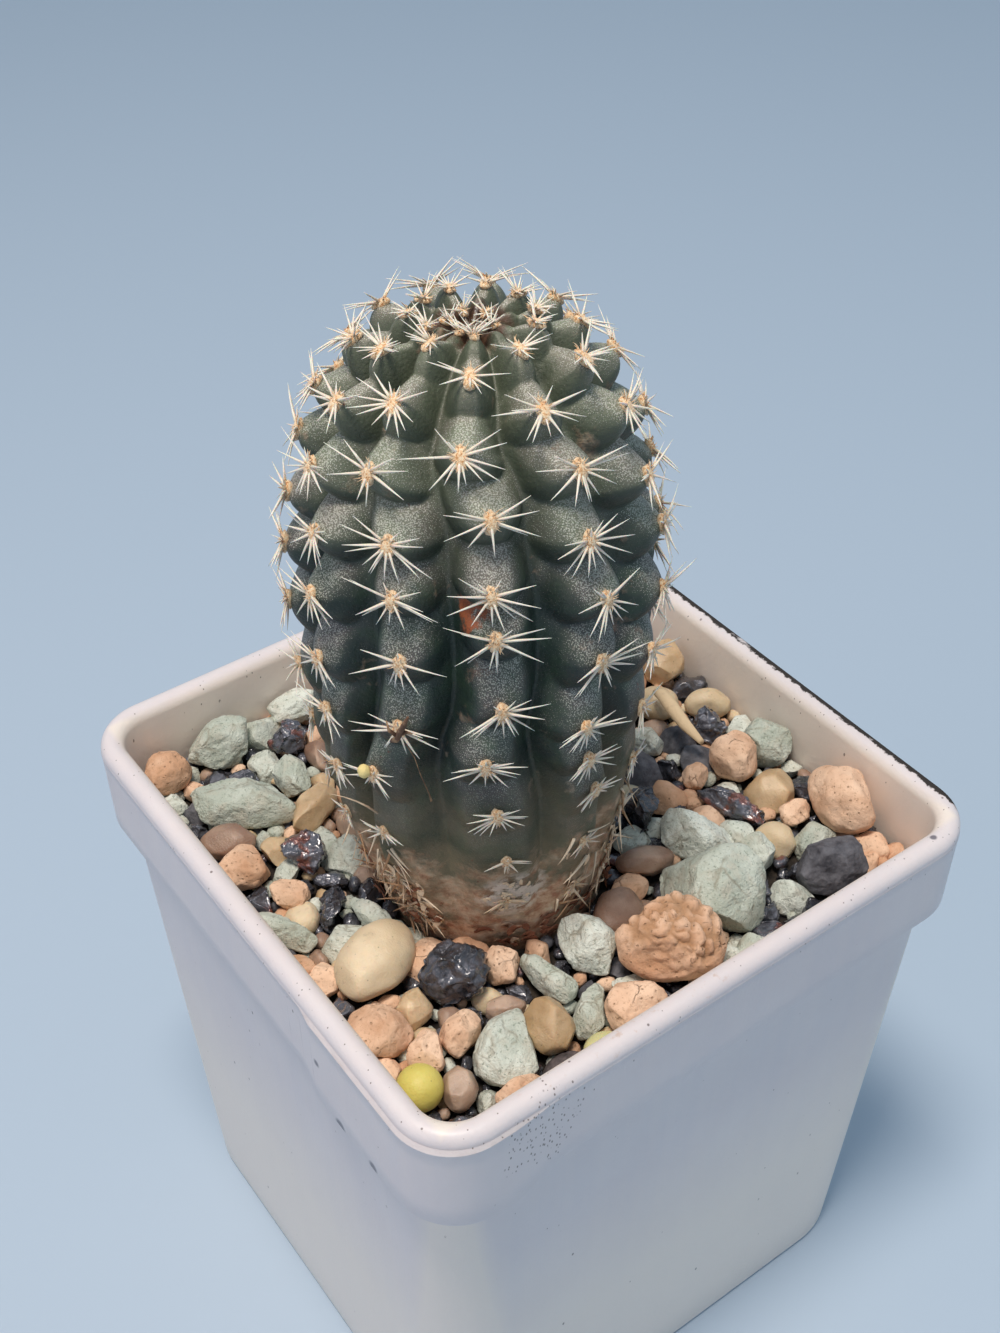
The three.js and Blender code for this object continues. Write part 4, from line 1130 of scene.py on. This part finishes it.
SPINE_SIDES = 5
SPINE_RINGS = 4
SPINE_STAR = [
    # (bearing from straight up in degrees, length in mm)
    (9, 1.3), (38, 1.9), (62, 3.7), (79, 4.4), (97, 4.4), (116, 3.8), (137, 3.2), (160, 2.7),
    (-178, 2.6), (-156, 2.8), (-134, 3.3), (-114, 3.8), (-95, 4.4), (-79, 4.4), (-60, 3.5), (-34, 1.7),
]
SPINE_THICK = 0.33
WOOL_HAIRS = 20
HAIR_THICK = 0.13


def ivory_spine():
    material, place = new_finish("ivory_spine", Roughness=0.40, Subsurface_Weight=0.2,
                                 Subsurface_Scale=0.0004)
    tip = attribute(place, "tip")
    colour = ramp(tip, (0.0, (0.70, 0.48, 0.28)), (0.16, (0.85, 0.75, 0.62)), (0.9, (0.91, 0.85, 0.76)))
    age = attribute(place, "age")
    colour = blend(ramp(age, (0.3, 0.0), (0.9, 0.85)), colour, (0.60, 0.43, 0.27))
    streak = ramp(grain(place, 0.5, detail=3), (0.4, 0.0), (0.7, 0.3))
    colour = blend(streak, colour, (0.55, 0.46, 0.38))
    return painted(material, colour, grain(place, 0.2, detail=2), 0.02)


def orange_wool():
    material, place = new_finish("orange_wool", Roughness=0.95, Sheen_Weight=0.4)
    strands = grain(place, 0.22, detail=5, roughness=0.7)
    colour = ramp(strands, (0.36, (0.50, 0.20, 0.06)), (0.46, (0.86, 0.54, 0.28)),
                  (0.58, (0.95, 0.78, 0.54)))
    return painted(material, colour, grain(place, 0.12, detail=4), 0.12)


def on_crest(rib, distance):
    """A place on the crest of a rib in mm, and its outward, sideways and upward directions."""
    return stem_spot(FIRST_RIB + rib * 360 / RIBS, distance)


def strand(bm, points, widths, sides=SPINE_SIDES):
    """A closed thin strand along points in mm, drawn out of a small ring by extruding it."""
    tip_layer = bm.verts.layers.float["tip"]
    axis = (points[1] - points[0]).normalized()
    across = axis.orthogonal().normalized()
    over = axis.cross(across)
    ring = bmesh.ops.create_circle(bm, segments=sides, radius=1.0)["verts"]
    base = [vert.co.copy() for vert in ring]
    edges = ring_edges(ring)
    bmesh.ops.edgeloop_fill(bm, edges=edges)
    for step, (middle, width) in enumerate(zip(points, widths)):
        if step:
            ring, edges = grow(bm, edges)
        for vert, spot in zip(ring, base):
            vert.co = (middle + (across * spot.x + over * spot.y) * width / 2) * MM
            vert[tip_layer] = step / (len(points) - 1)
    bmesh.ops.edgeloop_fill(bm, edges=edges)


def spine(bm, root, direction, length, thick, sag):
    """A tapered, slightly bent needle."""
    shares = [step / SPINE_RINGS for step in range(SPINE_RINGS + 1)]
    points = [root + direction.normalized() * length * share + sag * share * share * length
              for share in shares]
    strand(bm, points, [thick * (1 - 0.88 * share ** 1.3) for share in shares])


def strand_mesh():
    bm = bmesh.new()
    bm.verts.layers.float.new("tip")
    return bm


def turned(start, toward, angle):
    """A direction turned by an angle from one direction toward another."""
    return start * math.cos(angle) + toward * math.sin(angle)


def spine_star(rib, distance, rng, age):
    """The spines of one areole. Age runs from 0 at the crown to 1 at the foot."""
    bm = strand_mesh()
    middle, outward, sideways, upward = on_crest(rib, distance)
    small = smooth(1.0, 13.0, outline_at(distance)[0])
    for bearing, length in SPINE_STAR:
        if rng.random() < 0.15 + 0.30 * age + 0.25 * (abs(bearing) < 50) + 0.25 * (1 - small):
            continue
        angle = math.radians(bearing + rng.gauss(0, 7))
        lift = math.radians(rng.gauss(15, 6) + 22 * (1 - small))
        reach = length * rng.uniform(0.8, 1.08) * mix(0.5, 1.0, small)
        reach *= mix(0.52, 1.0, smooth(10, 42, distance))
        direction = turned(turned(upward, sideways, angle), outward, lift)
        root = middle + outward * 0.12 + direction * 0.2
        sag = outward * rng.gauss(-0.04, 0.04) + sideways * rng.gauss(0, 0.03)
        spine(bm, root, direction, reach, SPINE_THICK * rng.uniform(0.75, 1.1) * mix(0.7, 1.0, small), sag)
    return bm


def wool_pad(rib, distance, rng, size):
    """The cushion of one areole: an oval pad and short curled hairs."""
    pad = strand_mesh()
    middle, outward, sideways, upward = on_crest(rib, distance)
    bmesh.ops.create_icosphere(pad, subdivisions=2, radius=1.0)
    for vert in pad.verts:
        tuft = 1 + 0.3 * noise.noise(vert.co * 2.6 + middle)
        x, y, z = vert.co * tuft * size
        vert.co = (middle + sideways * x * 0.66 + upward * (y * 1.12 - 0.15)
                   + outward * (z * 0.5 + 0.02)) * MM
    for _ in range(WOOL_HAIRS):
        angle = rng.uniform(0, math.tau)
        around = sideways * math.cos(angle) * 0.45 + upward * math.sin(angle) * 0.85
        root = middle + around * size * rng.uniform(0.3, 1.0) + outward * 0.25 * size
        direction = around + outward * rng.uniform(0.2, 0.9)
        spine(pad, root, direction, rng.uniform(0.5, 0.9) * size, HAIR_THICK,
              outward * -0.3 + sideways * rng.gauss(0, 0.3))
    return pad


rng = random.Random(3)
all_spines = tinted(strand_mesh(), "age", 0)
all_wool = strand_mesh()
for rib, marks in enumerate(AREOLES):
    for mark, _ in marks:
        if mark == marks[-1][0] and rib % 2:
            continue
        age = 1 - smooth(4, 24, mark)
        append(all_spines, tinted(spine_star(rib, mark, rng, age), "age", age))
        size = mix(0.62, 1.0, smooth(1, 10, outline_at(mark)[0])) * mix(1.0, 0.6, age)
        append(all_wool, wool_pad(rib, mark, rng, size))
new_piece("ivory_spines", all_spines, ivory_spine(), "cactus")
new_piece("areole_wool", all_wool, orange_wool(), "cactus")


# ------------------------------------------------------------------ dry remains
# Round the foot lie the papery remains of old areoles: loose tan flakes, dead
# spines and brown crumbs. A dead twig and a yellow bud sit on the left rib.

FLAKES = 90
CRUMBS = 120
CRUST_FLAKES = 16
DEAD_SPINES = 90
LITTERED_RIBS = (-3, -2, -1, -1, -1, -1, 1, 2, 2, 2, 3, 4, 5, -4)


def dry_straw(name, dark, light):
    material, place = new_finish(name, Roughness=0.8)
    colour = mottled(place, 1.5, dark, light, tint_share=0.8)
    return painted(material, colour, grain(place, 0.3, detail=5), 0.06)


def flake(spot, along_it, outward, length, width, rng):
    """A thin curled scrap of dry skin."""
    bm = bmesh.new()
    bmesh.ops.create_grid(bm, x_segments=4, y_segments=2, size=0.5)
    across = outward.cross(along_it).normalized()
    curl, skew = rng.uniform(-0.3, 0.9), rng.uniform(-0.4, 0.4)
    for vert in bm.verts:
        x, y = vert.co.x, vert.co.y
        taper = 1 - 1.5 * abs(x) ** 1.6 + 0.3 * noise.noise(Vector((x * 5, y * 5, length * 9)))
        lift = curl * x * x * length + 0.12 * noise.noise(Vector((x * 6, y * 6, width * 9)))
        vert.co = (spot + along_it * x * length + across * (y * taper * width + skew * x * x * length)
                   + outward * (lift + 0.12)) * MM
    bmesh.ops.solidify(bm, geom=bm.faces[:], thickness=0.09 * MM)
    return bm


def litter_mesh():
    bm = strand_mesh()
    bm.verts.layers.float.new("tint")
    return bm


rng = random.Random(14)
flakes = litter_mesh()
dead_spines = litter_mesh()
for _ in range(FLAKES):
    bearing = FIRST_RIB + rng.choice(LITTERED_RIBS) * 360 / RIBS + rng.gauss(0, 7)
    spot, outward, sideways, upward = stem_spot(bearing, abs(rng.gauss(0, 6)))
    heading = turned(upward, sideways, rng.gauss(0, 0.6))
    part = flake(spot, heading, outward, rng.uniform(0.8, 2.6), rng.uniform(0.4, 1.1), rng)
    append(flakes, tinted(part, "tint", rng.random()))
for _ in range(CRUMBS):
    bearing = rng.uniform(0, 360)
    spot, outward, sideways, upward = stem_spot(bearing, rng.uniform(0, 2.5))
    spot += outward * rng.uniform(-0.2, 0.9)
    heading = (sideways + upward * rng.gauss(0, 0.7)).normalized()
    part = flake(spot, heading, outward, rng.uniform(0.8, 2.2), rng.uniform(0.5, 1.2), rng)
    append(flakes, tinted(part, "tint", rng.random() * 0.45))
for _ in range(CRUST_FLAKES):
    bearing = FIRST_RIB + rng.gauss(3, 6)
    spot, outward, sideways, upward = stem_spot(bearing, CRUST_MARK + rng.gauss(-1, 1.6))
    heading = turned(sideways, upward, rng.uniform(0, math.tau))
    part = flake(spot, heading, outward, rng.uniform(0.4, 1.1), 0.35, rng)
    append(flakes, tinted(part, "tint", 1.0))
for _ in range(DEAD_SPINES):
    bearing = FIRST_RIB + rng.choice(LITTERED_RIBS) * 360 / RIBS + rng.gauss(0, 6)
    spot, outward, sideways, upward = stem_spot(bearing, rng.uniform(1, 21) * rng.uniform(0.4, 1.0))
    angle = math.radians(rng.choice((-150, -125, 130, 155, 180, 90, -90)) + rng.gauss(0, 18))
    heading = turned(upward, sideways, angle) + outward * rng.uniform(0.1, 0.5)
    part = strand_mesh()
    spine(part, spot + outward * 0.15, heading, rng.uniform(2.2, 4.8), rng.uniform(0.2, 0.38),
          outward * rng.gauss(0, 0.15))
    append(dead_spines, tinted(part, "tint", rng.random()))
new_piece("dry_flakes", flakes, dry_straw("dry_skin", (0.26, 0.10, 0.055), (0.92, 0.74, 0.54)), "cactus")
new_piece("dead_spines", dead_spines, dry_straw("dry_straw", (0.42, 0.25, 0.14), (0.85, 0.70, 0.52)),
          "cactus")

twig = litter_mesh()
spot, outward, sideways, upward = on_crest(RIBS - 1, AREOLES[RIBS - 1][4][0])
TWIG = [
    # (sideways, up, out in mm) of the points along it, and its thickness at them
    ([(-0.9, -1.6, 0.4), (0.1, -0.6, 0.9), (0.7, 0.8, 1.3), (1.3, 2.2, 1.5), (2.0, 3.8, 1.9)],
     (0.3, 0.6, 0.7, 0.5, 0.25)),
    ([(0.5, 0.4, 1.2), (1.1, 1.0, 1.2), (1.9, 1.2, 1.3)], (0.5, 0.45, 0.2)),
    ([(0.4, 0.2, 1.2), (-0.3, 0.9, 1.4), (-0.5, 1.9, 1.3)], (0.4, 0.35, 0.15)),
    ([(1.0, -0.8, 0.9), (1.8, -2.2, 1.0), (2.2, -4.4, 0.9), (2.9, -6.6, 0.9), (3.0, -7.6, 0.8)],
     (0.10, 0.08, 0.08, 0.10, 0.28)),
]
for points, widths in TWIG:
    strand(twig, [spot + sideways * a + upward * b + outward * c for a, b, c in points], widths)
bmesh.ops.recalc_face_normals(twig, faces=twig.faces)
new_piece("dead_twig", tinted(twig, "tint", 0.3),
          dry_straw("dead_wood", (0.14, 0.07, 0.04), (0.55, 0.36, 0.20)), "cactus")

BUD_RADIUS = 0.62
spot, outward, sideways, upward = on_crest(RIBS - 1, AREOLES[RIBS - 1][3][0])
bud = bmesh.new()
bmesh.ops.create_icosphere(bud, subdivisions=3, radius=1.0)
for vert in bud.verts:
    x, y, z = vert.co * BUD_RADIUS * (1 + 0.12 * noise.noise(vert.co * 2))
    vert.co = (spot + sideways * (x - 0.5) + upward * (y * 1.15 + 0.7) + outward * (z + 0.7)) * MM
new_piece("yellow_bud", tinted(bud, "tint", 0.8),
          dry_straw("bud_skin", (0.48, 0.30, 0.07), (0.86, 0.70, 0.30)), "cactus")

stick = litter_mesh()
STICK = [(22.6, 3.8, 70.4), (22.2, 2.0, 71.3), (21.7, -0.4, 71.2), (21.4, -2.9, 70.8), (21.7, -5.4, 69.9)]
strand(stick, [Vector(point) for point in STICK], (0.7, 1.5, 1.7, 1.4, 0.7), sides=10)
bmesh.ops.recalc_face_normals(stick, faces=stick.faces)
new_piece("tan_stick", tinted(stick, "tint", 0.7),
          dry_straw("peeled_stick", (0.48, 0.30, 0.15), (0.84, 0.62, 0.38)), "cactus")
